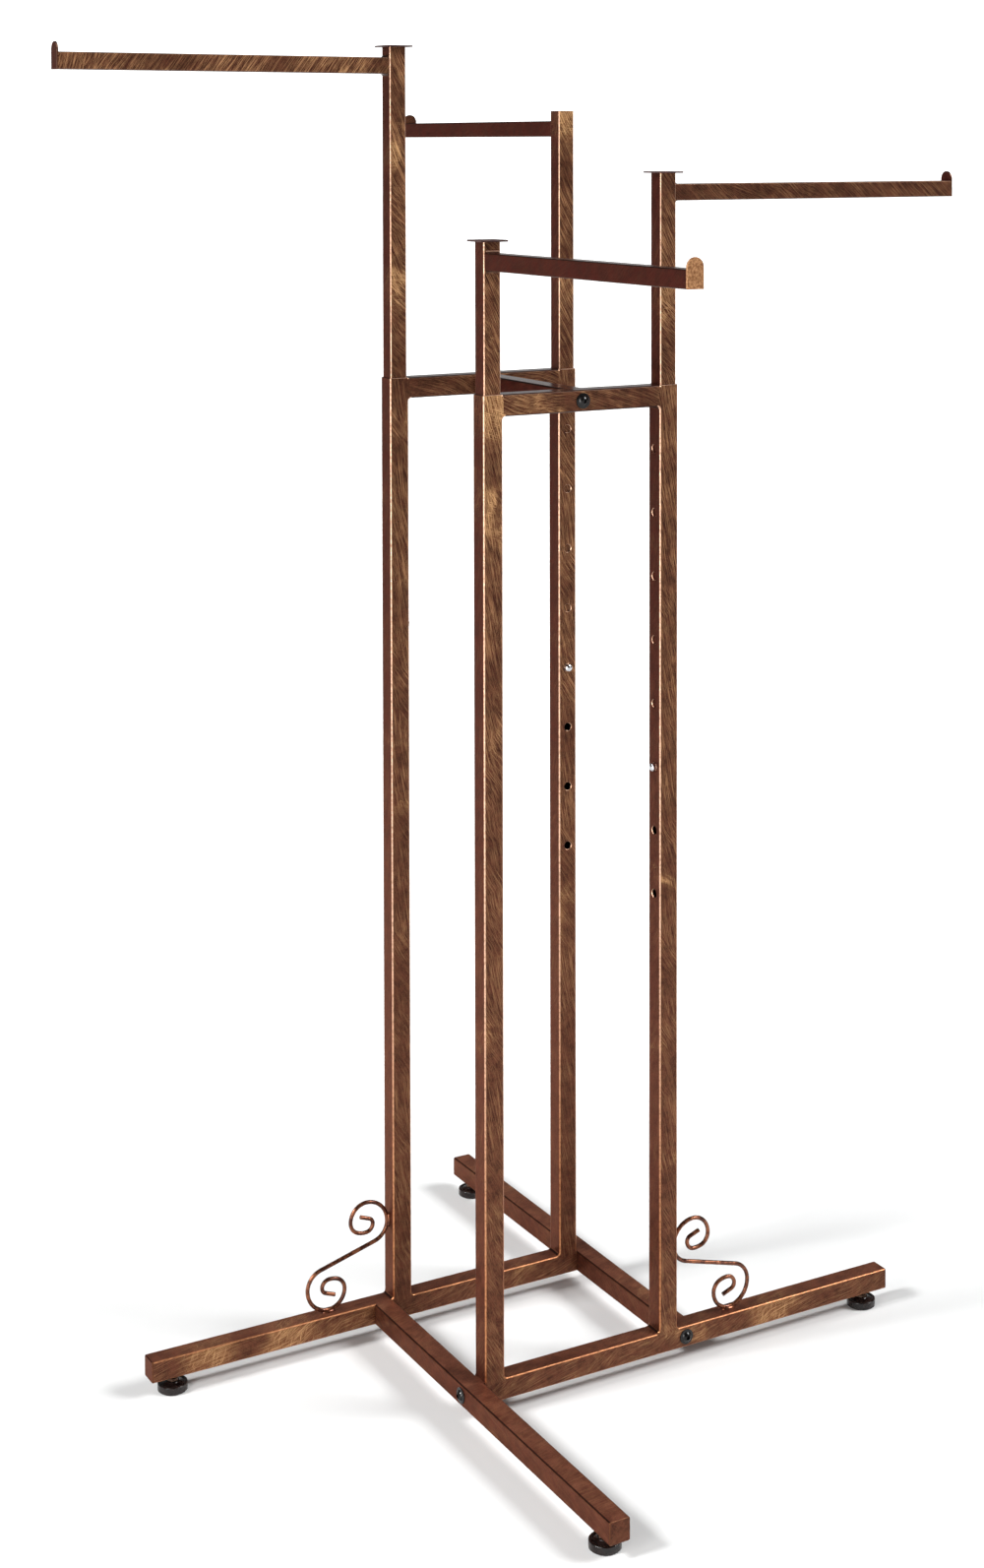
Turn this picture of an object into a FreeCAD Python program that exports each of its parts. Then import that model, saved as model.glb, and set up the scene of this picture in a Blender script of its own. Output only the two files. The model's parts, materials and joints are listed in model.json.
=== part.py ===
import FreeCAD, Part
import math
import os
import Sketcher

# A free-standing clothing rack: four telescoping square uprights, each with one straight hanging arm,
# standing on a bolted pinwheel base of square tube with a levelling foot under each leg.
# Row frame: origin on the floor at the middle of the base, +Z up, +X along the front frame to the
# right, +Y from the front frame to the back frame. Millimetres.

DRIVING = [
    ("tube_side", 25.4, "side of the fixed square tube, 1 inch"),
    ("tube_wall", 1.5, "wall of the fixed tube"),
    ("tube_round", 2.5, "outer corner radius of the fixed tube"),
    ("slider_side", 22.0, "side of the telescoping tube"),
    ("slider_wall", 1.2, "wall of the telescoping tube"),
    ("slider_round", 2.0, "outer corner radius of the telescoping tube"),
    ("slider_length", 762.0, "length of the telescoping tube, 30 inch"),
    ("post_spacing", 237.4, "between the axes of neighbouring posts"),
    ("post_top", 1183.0, "floor to the top of the fixed posts"),
    ("floor_gap", 18.5, "floor to the underside of the base tubes"),
    ("leg_reach", 446.0, "from the middle of the rack to the end of each leg"),
    ("foot_inset", 30.0, "from the end of a leg to the axis of its foot"),
    ("cap_thick", 2.0, "plate that closes the end of a leg"),
    ("hole_pitch", 76.2, "between height holes, 3 inch"),
    ("hole_count", 8, "height holes in each post"),
    ("hole_width", 10.0, "diameter of a height hole"),
    ("button_width", 9.5, "diameter of the snap button"),
    ("button_proud", 6.0, "how far the button stands out of the post"),
    ("button_drop", 707.6, "from the top of the telescoping tube to its button"),
    ("arm_side", 20.0, "side of the arm tube"),
    ("arm_wall", 1.2, "wall of the arm tube"),
    ("arm_round", 1.5, "outer corner radius of the arm tube"),
    ("arm_length", 415.5, "arm tube, from its upright to its end plate"),
    ("arm_drop", 12.7, "from the top of the telescoping tube down to the top of the arm"),
    ("stop_thick", 2.0, "end plate of an arm"),
    ("stop_height", 32.0, "end plate, from the underside of the arm to its round top"),
    ("plate_side", 35.0, "square plate on top of an upright"),
    ("plate_thick", 2.0, "thickness of that plate"),
    ("plate_round", 1.0, "corner radius of that plate"),
    ("scroll_width", 5.0, "diameter of the scroll rod"),
    ("bolt_width", 8.0, "thread of the frame bolts, M8"),
    ("bolt_grip", 16.0, "how far a frame bolt reaches past the tube it crosses"),
    ("insert_depth", 14.0, "threaded block in a tube end"),
    ("pad_width", 35.5, "diameter of a foot pad"),
    ("pad_height", 9.5, "straight side of a foot pad"),
    ("frame_weld", 4.0, "leg of the weld fillets in the frame corners"),
    ("arm_weld", 4.0, "leg of the weld fillets at the root of an arm"),
]

# The four corners in turn. Each is the front right one turned about the middle of the rack: its arm
# points away from the rack, and its snap button points the other way. hole counts from the top of
# the post, and plate says whether a square plate covers the top.
CORNERS = [
    {"name": "front_right", "turn": 0, "hole": 6, "plate": True},
    {"name": "back_right", "turn": 90, "hole": 5, "plate": False},
    {"name": "back_left", "turn": 180, "hole": 4, "plate": True},
    {"name": "front_left", "turn": 270, "hole": 7, "plate": True},
]

SOCKET_WALL = 2.9       # of a foot socket, round its thread
SOCKET_GAP = 0.1        # radial gap round a foot socket in its hole
RUNNING_FIT = 0.05      # radial gap of a screw in its thread
CLEARANCE = 0.3         # radial gap round a bolt in a plain hole
RIM_CHAMFER = 0.5       # broken edge of each height hole
EDGE_ROUND = 0.5        # eased edges of the cut plates
BLOCK_GAP = 0.1         # round a block or a plug in its tube
CAP_ROUND = 1.4         # ground edges of the plates on the leg ends
TIP_CHAMFER = 0.8       # lead of a bolt's thread

doc = FreeCAD.newDocument("four_way_rack")
os.makedirs("parts", exist_ok=True)


def fill_sheet():
    """The spreadsheet that holds the driving dimensions, one a row."""
    sheet = doc.addObject("Spreadsheet::Sheet", "Dimensions")
    for row, (alias, number, meaning) in enumerate(DRIVING, start=1):
        sheet.set(f"A{row}", alias)
        sheet.set(f"B{row}", str(number))
        sheet.set(f"C{row}", meaning)
        sheet.setAlias(f"B{row}", alias)
    doc.recompute()
    return sheet


class Size:
    """A length with the sheet formula that gives it, so that sums of lengths can be bound too."""

    def __init__(self, value, formula):
        self.value = float(value)
        self.formula = formula

    def _join(self, other, sign, result):
        text = other.formula if isinstance(other, Size) else str(other)
        return Size(result, f"({self.formula} {sign} {text})")

    def __add__(self, other):
        return self._join(other, "+", self.value + float(other))

    def __sub__(self, other):
        return self._join(other, "-", self.value - float(other))

    def __mul__(self, other):
        return self._join(other, "*", self.value * float(other))

    def __truediv__(self, other):
        return self._join(other, "/", self.value / float(other))

    def __float__(self):
        return self.value


SHEET = fill_sheet()
DIM = {alias: Size(SHEET.get(alias), f"Dimensions.{alias}") for alias, _, _ in DRIVING}

TUBE = DIM["tube_side"]
SPACING = DIM["post_spacing"]
SLIDER = DIM["slider_side"]
ARM = DIM["arm_side"]
LEG = DIM["leg_reach"]
PITCH = DIM["hole_pitch"]
RAIL_TOP = DIM["floor_gap"] + TUBE
RAIL_MIDDLE = DIM["floor_gap"] + TUBE / 2
TOP_RAIL_MIDDLE = DIM["post_top"] - TUBE / 2
FOOT_REACH = LEG - DIM["foot_inset"]
SIDE_RAIL_OFFSET = SPACING / 2 + TUBE
BORE = TUBE - DIM["tube_wall"] * 2
SLIDER_BORE = SLIDER - DIM["slider_wall"] * 2
ROD_RADIUS = DIM["scroll_width"] / 2


def bind(item, name, size):
    """Sets a property and ties it to the sheet."""
    if isinstance(size, Size):
        setattr(item, name, size.value)
        item.setExpression(name, size.formula)
    else:
        setattr(item, name, size)


def new_body(name):
    body = doc.addObject("PartDesign::Body", name)
    body.Label = name
    return body


def origin_feature(body, role):
    return next(f for f in body.Origin.OriginFeatures if f.Role == role)


def new_sketch(body, role, name):
    """An empty sketch on one of the body's own origin planes."""
    sketch = body.newObject("Sketcher::SketchObject", name)
    sketch.AttachmentSupport = [(origin_feature(body, role), "")]
    sketch.MapMode = "FlatFace"
    return sketch


def bound_constraint(sketch, kind, name, size, *where):
    """A dimension in a sketch, tied to the sheet."""
    index = sketch.addConstraint(Sketcher.Constraint(kind, *where, float(size)))
    sketch.renameConstraint(index, name)
    if isinstance(size, Size):
        sketch.setExpression(f"Constraints.{name}", size.formula)


def line(x0, y0, x1, y1):
    return Part.LineSegment(FreeCAD.Vector(x0, y0, 0), FreeCAD.Vector(x1, y1, 0))


def arc(x, y, radius, start, end):
    """An arc round (x, y), anticlockwise from start to end in degrees."""
    circle = Part.Circle(FreeCAD.Vector(x, y, 0), FreeCAD.Vector(0, 0, 1), radius)
    return Part.ArcOfCircle(circle, math.radians(start), math.radians(end))


def rounded_square(sketch, name, side, corner):
    """A square about the sketch's origin with round corners, its side and radius tied to the sheet."""
    half, radius = float(side) / 2, float(corner)
    near = half - radius
    first = sketch.GeometryCount
    sketch.addGeometry(
        [
            line(-near, -half, near, -half),
            arc(near, -near, radius, -90, 0),
            line(half, -near, half, near),
            arc(near, near, radius, 0, 90),
            line(near, half, -near, half),
            arc(-near, near, radius, 90, 180),
            line(-half, near, -half, -near),
            arc(-near, -near, radius, 180, 270),
        ],
        False,
    )
    for step in range(8):
        this = first + step
        following = first + (step + 1) % 8
        sketch.addConstraint(Sketcher.Constraint("Tangent", this, 2, following, 1))
    for step, kind in ((0, "Horizontal"), (2, "Vertical"), (4, "Horizontal"), (6, "Vertical")):
        sketch.addConstraint(Sketcher.Constraint(kind, first + step))
    for step in (3, 5, 7):
        sketch.addConstraint(Sketcher.Constraint("Equal", first + 1, first + step))
    sketch.addConstraint(Sketcher.Constraint("Symmetric", first, 1, first + 4, 1, -1, 1))
    bound_constraint(sketch, "Radius", f"{name}_radius", corner, first + 1)
    bound_constraint(sketch, "DistanceX", f"{name}_width", side, first + 6, 1, first + 2, 1)
    bound_constraint(sketch, "DistanceY", f"{name}_height", side, first, 1, first + 4, 1)


def hexagon(sketch, across_flats, level):
    """A hexagon about the sketch's origin, on a plane raised to that level."""
    radius = across_flats / 2 / math.cos(math.radians(30))
    steps = [math.radians(60 * n) for n in range(7)]
    points = [(radius * math.cos(step), radius * math.sin(step)) for step in steps]
    for start, end in zip(points, points[1:]):
        sketch.addGeometry(line(*start, *end), False)
    sketch.AttachmentOffset = FreeCAD.Placement(FreeCAD.Vector(0, 0, level), FreeCAD.Rotation())


def pad(body, sketch, name, length, midplane=False, backwards=False):
    feature = body.newObject("PartDesign::Pad", name)
    feature.Profile = sketch
    feature.Midplane = midplane
    feature.Reversed = backwards
    bind(feature, "Length", length)
    return feature


def pocket(body, sketch, name, depth, midplane=False, backwards=False):
    """A pocket that must take some metal away."""
    doc.recompute()
    before = body.Shape.Volume
    feature = body.newObject("PartDesign::Pocket", name)
    feature.Profile = sketch
    feature.Midplane = midplane
    feature.Reversed = backwards
    bind(feature, "Length", depth)
    doc.recompute()
    if not body.Shape.Volume < before - 1e-6:
        raise RuntimeError(f"{name} removes nothing")
    return feature


def revolve(body, sketch, name):
    """Turns a sketch on the XZ plane about the body's Z axis."""
    feature = body.newObject("PartDesign::Revolution", name)
    feature.Profile = sketch
    feature.ReferenceAxis = (sketch, ["V_Axis"])
    feature.Angle = 360.0
    return feature


def square_tube(name, side, wall, corner, length, plane):
    """A hollow square tube that starts at the body's origin. plane is square to its length."""
    body = new_body(name)
    sketch = new_sketch(body, plane, f"{name}_section")
    rounded_square(sketch, "outside", side, corner)
    rounded_square(sketch, "inside", side - wall * 2, corner - wall)
    pad(body, sketch, f"{name}_length", length)
    return body


def round_hole(body, name, plane, along, height, width, depth, midplane=False, backwards=False):
    """A drilled hole: a circle on an origin plane, at (along, height) in that plane's axes."""
    sketch = new_sketch(body, plane, f"{name}_circle")
    centre = FreeCAD.Vector(float(along), float(height), 0)
    radius = float(width) / 2
    sketch.addGeometry(Part.Circle(centre, FreeCAD.Vector(0, 0, 1), radius), False)
    bound_constraint(sketch, "Radius", "radius", width / 2, 0)
    bound_constraint(sketch, "DistanceX", "along", along, -1, 1, 0, 3)
    bound_constraint(sketch, "DistanceY", "height", height, -1, 1, 0, 3)
    return pocket(body, sketch, name, depth, midplane, backwards)


WELD_ROOT = 0.5         # how far a weld melts into the wall it lies on


def weld_fillets(body, name, corners, leg, width):
    """Concave weld fillets in the XZ plane. Each corner is (x, z, side, up): the inside corner, which way
    along X the metal lies and which way up the other piece stands."""
    sketch = new_sketch(body, "XZ_Plane", f"{name}_outline")
    size = float(leg)
    for x, z, side, up in corners:
        far, tip, low = x + side * size, z + up * size, z - up * WELD_ROOT
        middle = (x + side * size * (1 - math.sqrt(0.5)), z + up * size * (1 - math.sqrt(0.5)))
        curve = Part.Arc(
            FreeCAD.Vector(far, z, 0),
            FreeCAD.Vector(*middle, 0),
            FreeCAD.Vector(x, tip, 0),
        )
        sketch.addGeometry([line(x, low, far, low), line(far, low, far, z)], False)
        sketch.addGeometry([curve, line(x, tip, x, low)], False)
    return pad(body, sketch, name, width, midplane=True)


def put(item, x, y, z, turn=0.0, tilt=None):
    """Places a piece in the row frame: tilt first, then a turn about Z, then the move."""
    rotation = FreeCAD.Rotation(FreeCAD.Vector(0, 0, 1), turn)
    if tilt is not None:
        rotation = rotation * tilt
    item.Placement = FreeCAD.Placement(FreeCAD.Vector(float(x), float(y), float(z)), rotation)


def turned(x, y, turn):
    """A point of the row's plan turned about its middle."""
    angle = math.radians(turn)
    return (
        float(x) * math.cos(angle) - float(y) * math.sin(angle),
        float(x) * math.sin(angle) + float(y) * math.cos(angle),
    )


# ---------------------------------------------------------------------------------------------------
# the fixed frame

def post(corner):
    """A fixed upright tube. It stands on the base, and its height holes face away from its arm."""
    name = f"post_{corner['name']}"
    length = DIM["post_top"] - RAIL_TOP
    body = square_tube(name, TUBE, DIM["tube_wall"], DIM["tube_round"], length, "XY_Plane")
    lowest = length - PITCH * DIM["hole_count"]
    first = round_hole(body, f"{name}_hole", "YZ_Plane", 0, lowest, DIM["hole_width"], TUBE)
    pattern = body.newObject("PartDesign::LinearPattern", f"{name}_holes")
    pattern.Originals = [first]
    pattern.Direction = (origin_feature(body, "Z_Axis"), [""])
    bind(pattern, "Length", PITCH * (DIM["hole_count"] - 1))
    pattern.Occurrences = int(DIM["hole_count"].value)
    body.Tip = pattern
    doc.recompute()
    rims = []
    for number, edge in enumerate(pattern.Shape.Edges, start=1):
        box = edge.BoundBox
        on_face = abs(box.XMin + float(TUBE) / 2) < 1e-4 and box.XLength < 1e-4
        if on_face and box.ZLength < float(DIM["hole_width"]) + 1e-3:
            rims.append(f"Edge{number}")
    chamfer = body.newObject("PartDesign::Chamfer", f"{name}_rims")
    chamfer.Base = (pattern, rims)
    chamfer.Size = RIM_CHAMFER
    x, y = turned(SPACING / 2, SPACING * -0.5, corner["turn"])
    put(body, x, y, RAIL_TOP, corner["turn"])
    return body


def base_rail(name, turn):
    """One side of the base and the leg that carries on from it, under two posts. It starts at the outer
    face of the first post."""
    length = LEG + SPACING / 2 + TUBE / 2 - DIM["cap_thick"]
    body = square_tube(name, TUBE, DIM["tube_wall"], DIM["tube_round"], length, "YZ_Plane")
    side_bolt = SPACING + TUBE * 1.5
    round_hole(
        body, f"{name}_bolt_hole", "XZ_Plane", side_bolt, 0, DIM["bolt_width"] + 2 * CLEARANCE,
        TUBE * 2, midplane=True,
    )
    foot = FOOT_REACH + SPACING / 2 + TUBE / 2
    foot_hole(body, name, foot)
    top, width = float(TUBE) / 2, TUBE - DIM["tube_round"] * 2
    near, far = float(SPACING), float(SPACING + TUBE)
    corners = [(float(TUBE), top, 1, 1), (near, top, -1, 1), (far, top, 1, 1)]
    weld_fillets(body, f"{name}_welds", corners, DIM["frame_weld"], width)
    x, y = turned(SPACING * -0.5 - TUBE / 2, SPACING * -0.5, turn)
    put(body, x, y, RAIL_MIDDLE, turn)
    return body


def side_rail(name, turn):
    """The other side of the base and its leg. It starts against the inner face of a base rail, and a
    bolt near its far post clamps it to the end of the other one."""
    length = LEG + SPACING / 2 - TUBE / 2 - DIM["cap_thick"]
    body = square_tube(name, TUBE, DIM["tube_wall"], DIM["tube_round"], length, "YZ_Plane")
    bolt = SPACING - TUBE / 2
    round_hole(
        body, f"{name}_bolt_hole", "XZ_Plane", bolt, 0, DIM["bolt_width"] + 2 * CLEARANCE,
        TUBE * 2, midplane=True,
    )
    foot_hole(body, name, FOOT_REACH + SPACING / 2 - TUBE / 2)
    x, y = turned(TUBE / 2 - SPACING / 2, SIDE_RAIL_OFFSET * -1, turn)
    put(body, x, y, RAIL_MIDDLE, turn)
    return body


def foot_hole(body, name, along):
    """The hole through the lower wall of a leg that its foot socket is welded into."""
    width = DIM["bolt_width"] + SOCKET_WALL * 2 + SOCKET_GAP * 2
    round_hole(body, f"{name}_foot_hole", "XY_Plane", along, 0, width, TUBE)


def top_rail(name, side):
    """The tube between two posts, level with their tops. side is -1 at the front and 1 at the back."""
    length = SPACING - TUBE
    body = square_tube(name, TUBE, DIM["tube_wall"], DIM["tube_round"], length, "YZ_Plane")
    round_hole(
        body, f"{name}_bolt_hole", "XZ_Plane", length / 2, 0, DIM["bolt_width"] + 2 * CLEARANCE,
        TUBE * 2, midplane=True,
    )
    under = float(TUBE) / -2
    corners = [(0.0, under, 1, -1), (float(length), under, -1, -1)]
    weld_fillets(body, f"{name}_welds", corners, DIM["frame_weld"], TUBE - DIM["tube_round"] * 2)
    put(body, (TUBE - SPACING) / 2, SPACING / 2 * side, TOP_RAIL_MIDDLE)
    return body


def crossbar():
    """The tube that joins the middles of the two top rails, bolted at both ends."""
    name = "top_crossbar"
    length = SPACING - TUBE
    body = square_tube(name, TUBE, DIM["tube_wall"], DIM["tube_round"], length, "YZ_Plane")
    put(body, 0, (TUBE - SPACING) / 2, TOP_RAIL_MIDDLE, 90)
    return body


def leg_cap(name, x, y, turn):
    """The square plate welded over the end of a leg, its outer edges eased."""
    body = new_body(name)
    sketch = new_sketch(body, "YZ_Plane", f"{name}_outline")
    rounded_square(sketch, "plate", TUBE, DIM["tube_round"])
    plate = pad(body, sketch, f"{name}_plate", DIM["cap_thick"])
    doc.recompute()
    front = float(DIM["cap_thick"])
    rim = [
        f"Edge{number}"
        for number, edge in enumerate(plate.Shape.Edges, start=1)
        if edge.BoundBox.XMin > front - 1e-4
    ]
    ease = body.newObject("PartDesign::Fillet", f"{name}_edges")
    ease.Base = (plate, rim)
    ease.Radius = CAP_ROUND
    put(body, x, y, RAIL_MIDDLE, turn)
    return body


FLANGE_RADIUS = 9.0     # washer flange of a frame bolt
FLANGE_THICK = 1.4
HEAD_RADIUS = 6.4       # dome above the flange
HEAD_HEIGHT = 5.0       # from under the flange to the crown
KEY_WIDTH = 5.0         # hexagon socket, across its flats
KEY_DEPTH = 3.0


def bolt(name, length):
    """A flanged button-head bolt. Its origin is under the head and its shank runs along -Z."""
    body = new_body(name)
    radius = float(DIM["bolt_width"]) / 2
    tip = radius - TIP_CHAMFER
    end = float(length)
    rise = HEAD_HEIGHT - FLANGE_THICK
    dome = (HEAD_RADIUS ** 2 + rise ** 2) / (2 * rise)
    half_angle = math.degrees(math.asin(HEAD_RADIUS / dome))
    sketch = new_sketch(body, "XZ_Plane", f"{name}_profile")
    sketch.addGeometry(
        [
            line(0, -end, tip, -end),
            line(tip, -end, radius, -end + TIP_CHAMFER),
            line(radius, -end + TIP_CHAMFER, radius, 0),
            line(radius, 0, FLANGE_RADIUS, 0),
            line(FLANGE_RADIUS, 0, FLANGE_RADIUS, FLANGE_THICK - EDGE_ROUND),
            line(FLANGE_RADIUS, FLANGE_THICK - EDGE_ROUND, HEAD_RADIUS, FLANGE_THICK),
            arc(0, HEAD_HEIGHT - dome, dome, 90 - half_angle, 90),
            line(0, HEAD_HEIGHT, 0, -end),
        ],
        False,
    )
    revolve(body, sketch, f"{name}_turned")
    socket = new_sketch(body, "XY_Plane", f"{name}_socket_outline")
    hexagon(socket, KEY_WIDTH, HEAD_HEIGHT)
    pocket(body, socket, f"{name}_socket", KEY_DEPTH)
    return body


FRAME_BOLTS = [
    # where the bolt's head bears and which way it points, as (x, y, z, turn of the screwing direction)
    ("left_side", SIDE_RAIL_OFFSET * -1 - TUBE / 2, SPACING * -0.5, RAIL_MIDDLE, 0),
    ("right_side", SIDE_RAIL_OFFSET + TUBE / 2, SPACING / 2, RAIL_MIDDLE, 180),
    ("front_base", SIDE_RAIL_OFFSET, SPACING * -0.5 - TUBE / 2, RAIL_MIDDLE, 90),
    ("back_base", SIDE_RAIL_OFFSET * -1, SPACING / 2 + TUBE / 2, RAIL_MIDDLE, 270),
    ("front_top", TUBE * 0, SPACING * -0.5 - TUBE / 2, TOP_RAIL_MIDDLE, 90),
    ("back_top", TUBE * 0, SPACING / 2 + TUBE / 2, TOP_RAIL_MIDDLE, 270),
]


def group(name, items):
    """Identical fasteners as one node of separate solids."""
    together = doc.addObject("Part::Compound", name)
    together.Links = items
    together.Label = name
    return together


def frame_bolts():
    """The six bolts, all alike. Each crosses one tube and screws into the end of the next."""
    bolts = []
    for place, x, y, z, turn in FRAME_BOLTS:
        item = bolt(f"bolt_{place}", TUBE + DIM["bolt_grip"])
        put(item, x, y, z, turn, FreeCAD.Rotation(FreeCAD.Vector(0, 1, 0), -90))
        bolts.append(item)
    return group("frame_bolts", bolts)


def end_inserts():
    """The threaded square blocks inside the tube ends that the frame bolts pull on."""
    inserts = []
    for place, x, y, z, turn in FRAME_BOLTS:
        name = f"insert_{place}"
        body = new_body(name)
        sketch = new_sketch(body, "YZ_Plane", f"{name}_section")
        rounded_square(sketch, "block", BORE - BLOCK_GAP * 2, DIM["tube_round"] - DIM["tube_wall"])
        pad(body, sketch, f"{name}_block", DIM["insert_depth"])
        round_hole(
            body, f"{name}_thread", "YZ_Plane", 0, 0, DIM["bolt_width"] + 2 * RUNNING_FIT,
            DIM["insert_depth"] * 3, midplane=True,
        )
        ahead = turned(TUBE, 0, turn)
        put(body, float(x) + ahead[0], float(y) + ahead[1], z, turn)
        inserts.append(body)
    return group("end_inserts", inserts)


# ---------------------------------------------------------------------------------------------------
# the scroll braces

def chain(x, y, heading, moves):
    """Lines and clockwise arcs that follow each other smoothly. Each move is ("line", length) or
    ("arc", radius, how far it turns in degrees)."""
    pieces = []
    for move in moves:
        angle = math.radians(heading)
        if move[0] == "line":
            end = (x + move[1] * math.cos(angle), y + move[1] * math.sin(angle))
            pieces.append(line(x, y, *end))
            x, y = end
            continue
        radius, turn = move[1], move[2]
        centre = (x + radius * math.sin(angle), y - radius * math.cos(angle))
        pieces.append(arc(*centre, radius, heading + 90 - turn, heading + 90))
        heading -= turn
        angle = math.radians(heading)
        x = centre[0] - radius * math.sin(angle)
        y = centre[1] + radius * math.cos(angle)
    return pieces


# Half of the S, from its middle to the end of one curl. The other half is the same turned half round.
SLOPE = 15.3
CURL = [
    ("line", 37.9),
    ("arc", 23.4, 90 - SLOPE),
    ("arc", 28.0, 90),
    ("arc", 21.5, 90),
    ("arc", 15.0, 70),
    ("arc", 27.0, 25),
    ("arc", 9.5, 85),
    ("arc", 7.0, 70),
    ("line", 13.0),
]


BEAD_LENGTH = 18.0      # weld bead along the rod
BEAD_WIDTH = 8.4        # across the rod
BEAD_HEIGHT = 3.6       # up from the tube


def curl_reach():
    """How far the curl goes out and down from the middle of the S, to the middle of the rod."""
    angle = math.radians(SLOPE)
    straight, shoulder, belly = CURL[0][1], CURL[1][1], CURL[2][1]
    out = straight * math.cos(angle) + shoulder * (1 - math.sin(angle))
    down = straight * math.sin(angle) + shoulder * math.cos(angle) + belly
    return out, down


def scroll(name, side):
    """An S scroll of round rod in the plane of a frame, welded to the post and to the top of the leg.
    side is 1 for the right leg, at the front, and -1 for the left leg, at the back."""
    out, down = curl_reach()
    centre = (float(ROD_RADIUS) + out, float(ROD_RADIUS) + down)
    half = chain(0, 0, -SLOPE, CURL)
    edges = [piece.toShape() for piece in half]
    opposite = FreeCAD.Placement(FreeCAD.Vector(), FreeCAD.Rotation(FreeCAD.Vector(0, 0, 1), 180))
    for piece in half:
        edge = piece.toShape()
        edge.Placement = opposite
        edges.insert(0, edge)
    upright = FreeCAD.Rotation(FreeCAD.Vector(1, 0, 0), 90)
    path = doc.addObject("Part::Feature", f"{name}_path")
    path.Shape = Part.Wire(Part.__sortEdges__(edges))
    start = path.Shape.OrderedVertexes[0].Point
    ahead = path.Shape.OrderedEdges[0].tangentAt(path.Shape.OrderedEdges[0].FirstParameter)
    ring = doc.addObject("Part::Circle", f"{name}_section")
    bind(ring, "Radius", ROD_RADIUS)
    ring.Placement = FreeCAD.Placement(start, FreeCAD.Rotation(FreeCAD.Vector(0, 0, 1), ahead))
    rod = doc.addObject("Part::Sweep", f"{name}_rod")
    rod.Sections = [ring]
    rod.Spine = (path, [f"Edge{n}" for n in range(1, len(edges) + 1)])
    rod.Solid = True
    rod.Frenet = False
    belly = CURL[2][1]
    on_leg = scroll_bead(f"{name}_leg_bead", out - belly, -centre[1], 0)
    on_post = scroll_bead(f"{name}_post_bead", -centre[0], down - belly, -90)
    whole = doc.addObject("Part::MultiFuse", name)
    whole.Shapes = [rod, on_leg, on_post]
    whole.Label = name
    turn = 0 if side > 0 else 180
    x, y = turned(SPACING / 2 + TUBE / 2 + centre[0], SPACING * -0.5, turn)
    put(whole, x, y, float(RAIL_TOP) + centre[1], turn, upright)
    return whole


def scroll_bead(name, x, y, turn):
    """A weld bead where the rod touches the leg or the post: half an ellipsoid, flat against the tube."""
    bead = doc.addObject("Part::Ellipsoid", name)
    bead.Radius1 = BEAD_WIDTH / 2
    bead.Radius2 = BEAD_LENGTH / 2
    bead.Radius3 = BEAD_HEIGHT
    bead.Angle3 = 180
    rotation = FreeCAD.Rotation(FreeCAD.Vector(0, 0, 1), turn)
    bead.Placement = FreeCAD.Placement(FreeCAD.Vector(x, y, 0), rotation)
    return bead


# ---------------------------------------------------------------------------------------------------
# the telescoping uprights

def upright_place(corner):
    """Where a telescoping tube's top middle is: over its post, with its button in the chosen hole."""
    x, y = turned(SPACING / 2, SPACING * -0.5, corner["turn"])
    z = DIM["post_top"] - PITCH * corner["hole"] + DIM["button_drop"]
    return x, y, float(z)


def slider(corner):
    """The telescoping tube, with the hole that its snap button comes out of. Origin at its top."""
    name = f"slider_{corner['name']}"
    body = new_body(name)
    sketch = new_sketch(body, "XY_Plane", f"{name}_section")
    rounded_square(sketch, "outside", SLIDER, DIM["slider_round"])
    rounded_square(sketch, "inside", SLIDER_BORE, DIM["slider_round"] - DIM["slider_wall"])
    pad(body, sketch, f"{name}_length", DIM["slider_length"], backwards=True)
    width = DIM["button_width"] + BUTTON_GAP * 2
    round_hole(body, f"{name}_hole", "YZ_Plane", 0, DIM["button_drop"] * -1, width, SLIDER)
    put(body, *upright_place(corner), corner["turn"])
    return body


def arm(corner):
    """The straight hanging arm with its weld fillets. Origin where its axis meets the upright."""
    name = f"arm_{corner['name']}"
    body = square_tube(name, ARM, DIM["arm_wall"], DIM["arm_round"], DIM["arm_length"], "YZ_Plane")
    top = float(ARM) / 2
    corners = [(0.0, top, 1, 1), (0.0, -top, 1, -1)]
    weld_fillets(body, f"{name}_welds", corners, DIM["arm_weld"], ARM - DIM["arm_round"] * 2)
    place_on_arm(body, corner, SLIDER / 2)
    return body


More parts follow.
